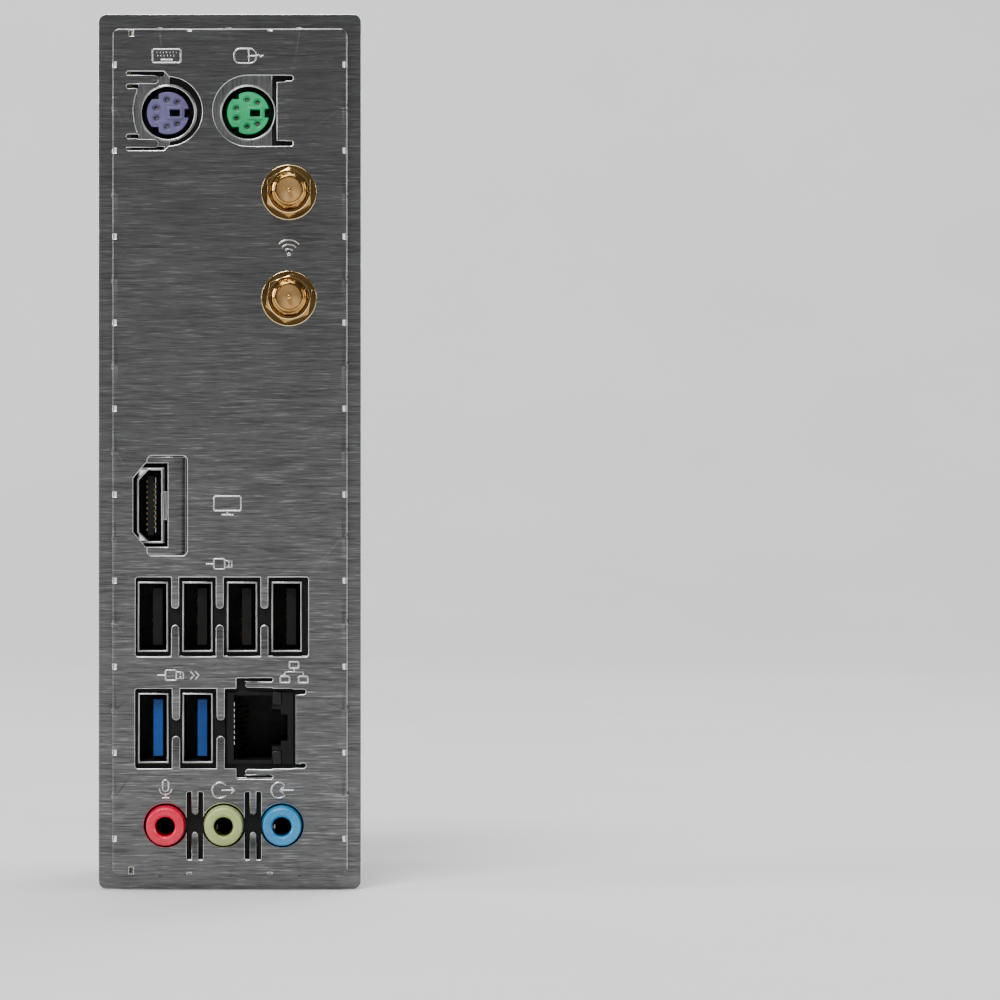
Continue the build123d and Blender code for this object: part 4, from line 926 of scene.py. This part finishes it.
def card_parts():
    """Row of small parts along the edge away from the socket."""
    near_x, far_x, lap = CARD_HIGH.x - 5.3, CARD_HIGH.x - 4.8, 0.02
    face_y, height, half_z = CARD_HIGH.y, 0.4, 0.45
    parts, caps = bmesh.new(), bmesh.new()
    for i in range(5):
        z = CARD_LOW.z + 4.5 + 2.6 * i
        add_box(parts, (near_x, face_y, z - half_z), (far_x, face_y + height, z + half_z), 0.03)
        for side in (-1, 1):
            low_z, high_z = sorted((z + side * 0.3, z + side * 0.52))
            low = (near_x - lap, face_y - 0.01, low_z)
            add_box(caps, low, (far_x + lap, face_y + height + lap, high_z), 0.03)
    place(mesh_from(parts, "card_parts"), CERAMIC)
    place(mesh_from(caps, "card_caps"), TIN)


def card_label():
    """Blank label on the card's can, with three ruled lines."""
    top, margin, line_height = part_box("wifi_card_can")[1].y / MM, 5.5, 0.45
    tag, ink = bmesh.new(), bmesh.new()
    low, high = (-9.6, top - 0.01, CARD_LOW.z + margin), (4.4, top + 0.06, CARD_HIGH.z - margin)
    add_box(tag, low, high, 0.02)
    for i, length in enumerate((9.5, 7.0, 11.0)):
        low = Vector((-8.6, top + 0.05, CARD_LOW.z + 8.0 + 1.5 * i))
        add_box(ink, low, low + Vector((length, 0.02, line_height)))
    place(mesh_from(tag, "card_label"), LABEL)
    place(mesh_from(ink, "card_label_rules"), INK)


# ---------------------------------------------------------------- studio, in metres
def backdrop():
    """Pale floor that curves up into a wall behind the object."""
    half, run, rise, radius, steps = 4.5, 0.9, 0.9, 0.5, 16
    angles = [i * math.pi / 2 / steps for i in range(steps + 1)]
    curve = [(run + radius * math.sin(a), radius * (1 - math.cos(a))) for a in angles]
    outline = [(-half, 0.0), (run, 0.0), *curve, (run + radius, rise)]
    bm = bmesh.new()
    floor_z = BOARD_LOW.z
    left, right = ([bm.verts.new((x, y, floor_z + z)) for y, z in outline] for x in (-half, half))
    for i in range(len(outline) - 1):
        bm.faces.new((left[i], right[i], right[i + 1], left[i + 1]))
    look = Look("backdrop_paper", Roughness=0.75)
    mottle = look.noise(9, detail=5.0)
    fibre = look.noise(1500, detail=2.0)
    colour = look.ramp(mottle, [(0.3, grey(0.66)), (0.7, grey(0.7))])
    relief = look.bump(fibre, strength=0.08, depth_mm=0.05)
    mesh = mesh_from(bm, "backdrop", smooth_angle=60)
    mesh.materials.append(look.wire(Base_Color=colour, Normal=relief))
    sheet = bpy.data.objects.new("backdrop", mesh)
    bpy.context.scene.collection.objects.link(sheet)


def soft_light(name, at, size, watts, colour=(1, 1, 1)):
    """Rectangular softbox aimed at the origin."""
    data = bpy.data.lights.new(name, "AREA")
    data.shape = "RECTANGLE"
    data.size, data.size_y = size
    data.energy = watts
    data.color = colour
    lamp = bpy.data.objects.new(name, data)
    lamp.location = at
    lamp.rotation_euler = (-Vector(at)).to_track_quat("-Z", "Y").to_euler()
    bpy.context.scene.collection.objects.link(lamp)


def lights():
    """Key and fills, with a strip on either side that catches the 45 degree edges."""
    strip = (0.7, 1.4)
    soft_light("key", at=(-0.7, -1.5, 2.4), size=(1.3, 1.0), watts=92)
    soft_light("left", at=(-2.4, -0.3, 0.8), size=strip, watts=34)
    soft_light("right", at=(2.4, -0.1, 0.8), size=strip, watts=20, colour=(1, 0.985, 0.96))
    soft_light("top", at=(0.2, 0.1, 2.2), size=(1.6, 1.0), watts=30)
    soft_light("back", at=(1.4, 2.2, 1.9), size=(1.2, 1.2), watts=46, colour=(0.96, 0.98, 1))
    world = bpy.data.worlds.new("studio")
    world.use_nodes = True
    sky = world.node_tree.nodes["Background"].inputs
    sky["Color"].default_value = tone(0.93, 0.95, 1.0)
    sky["Strength"].default_value = 0.17
    bpy.context.scene.world = world


def camera():
    """Square-on view with the panel in the left third of the frame."""
    distance, width_at_panel = 0.70, 0.186
    axis, middle = Vector((0.011, -0.004)), Vector((0.0503, -0.0090))  # x, z: of the eye, the frame
    data = bpy.data.cameras.new("camera")
    data.sensor_width = 36
    data.lens = data.sensor_width * distance / width_at_panel
    data.clip_start, data.clip_end = 0.01, 20
    data.shift_x, data.shift_y = (middle - axis) / width_at_panel
    eye = bpy.data.objects.new("camera", data)
    eye.location = (axis.x, FACE_Y * MM - distance, axis.y)
    eye.rotation_euler = (math.radians(90), 0, 0)
    bpy.context.scene.collection.objects.link(eye)
    bpy.context.scene.camera = eye


finish_cad_nodes()
for node, width in SOFT_EDGES.items():
    rounded(node, width)
for node in WASHERS:
    flat_faced(node)
for node in JACKS:
    antenna_jack(node)
stamp_signs()
soldering()
screw_pads()
traces()
board_components()
card_fingers()
card_parts()
card_label()
backdrop()
lights()
camera()
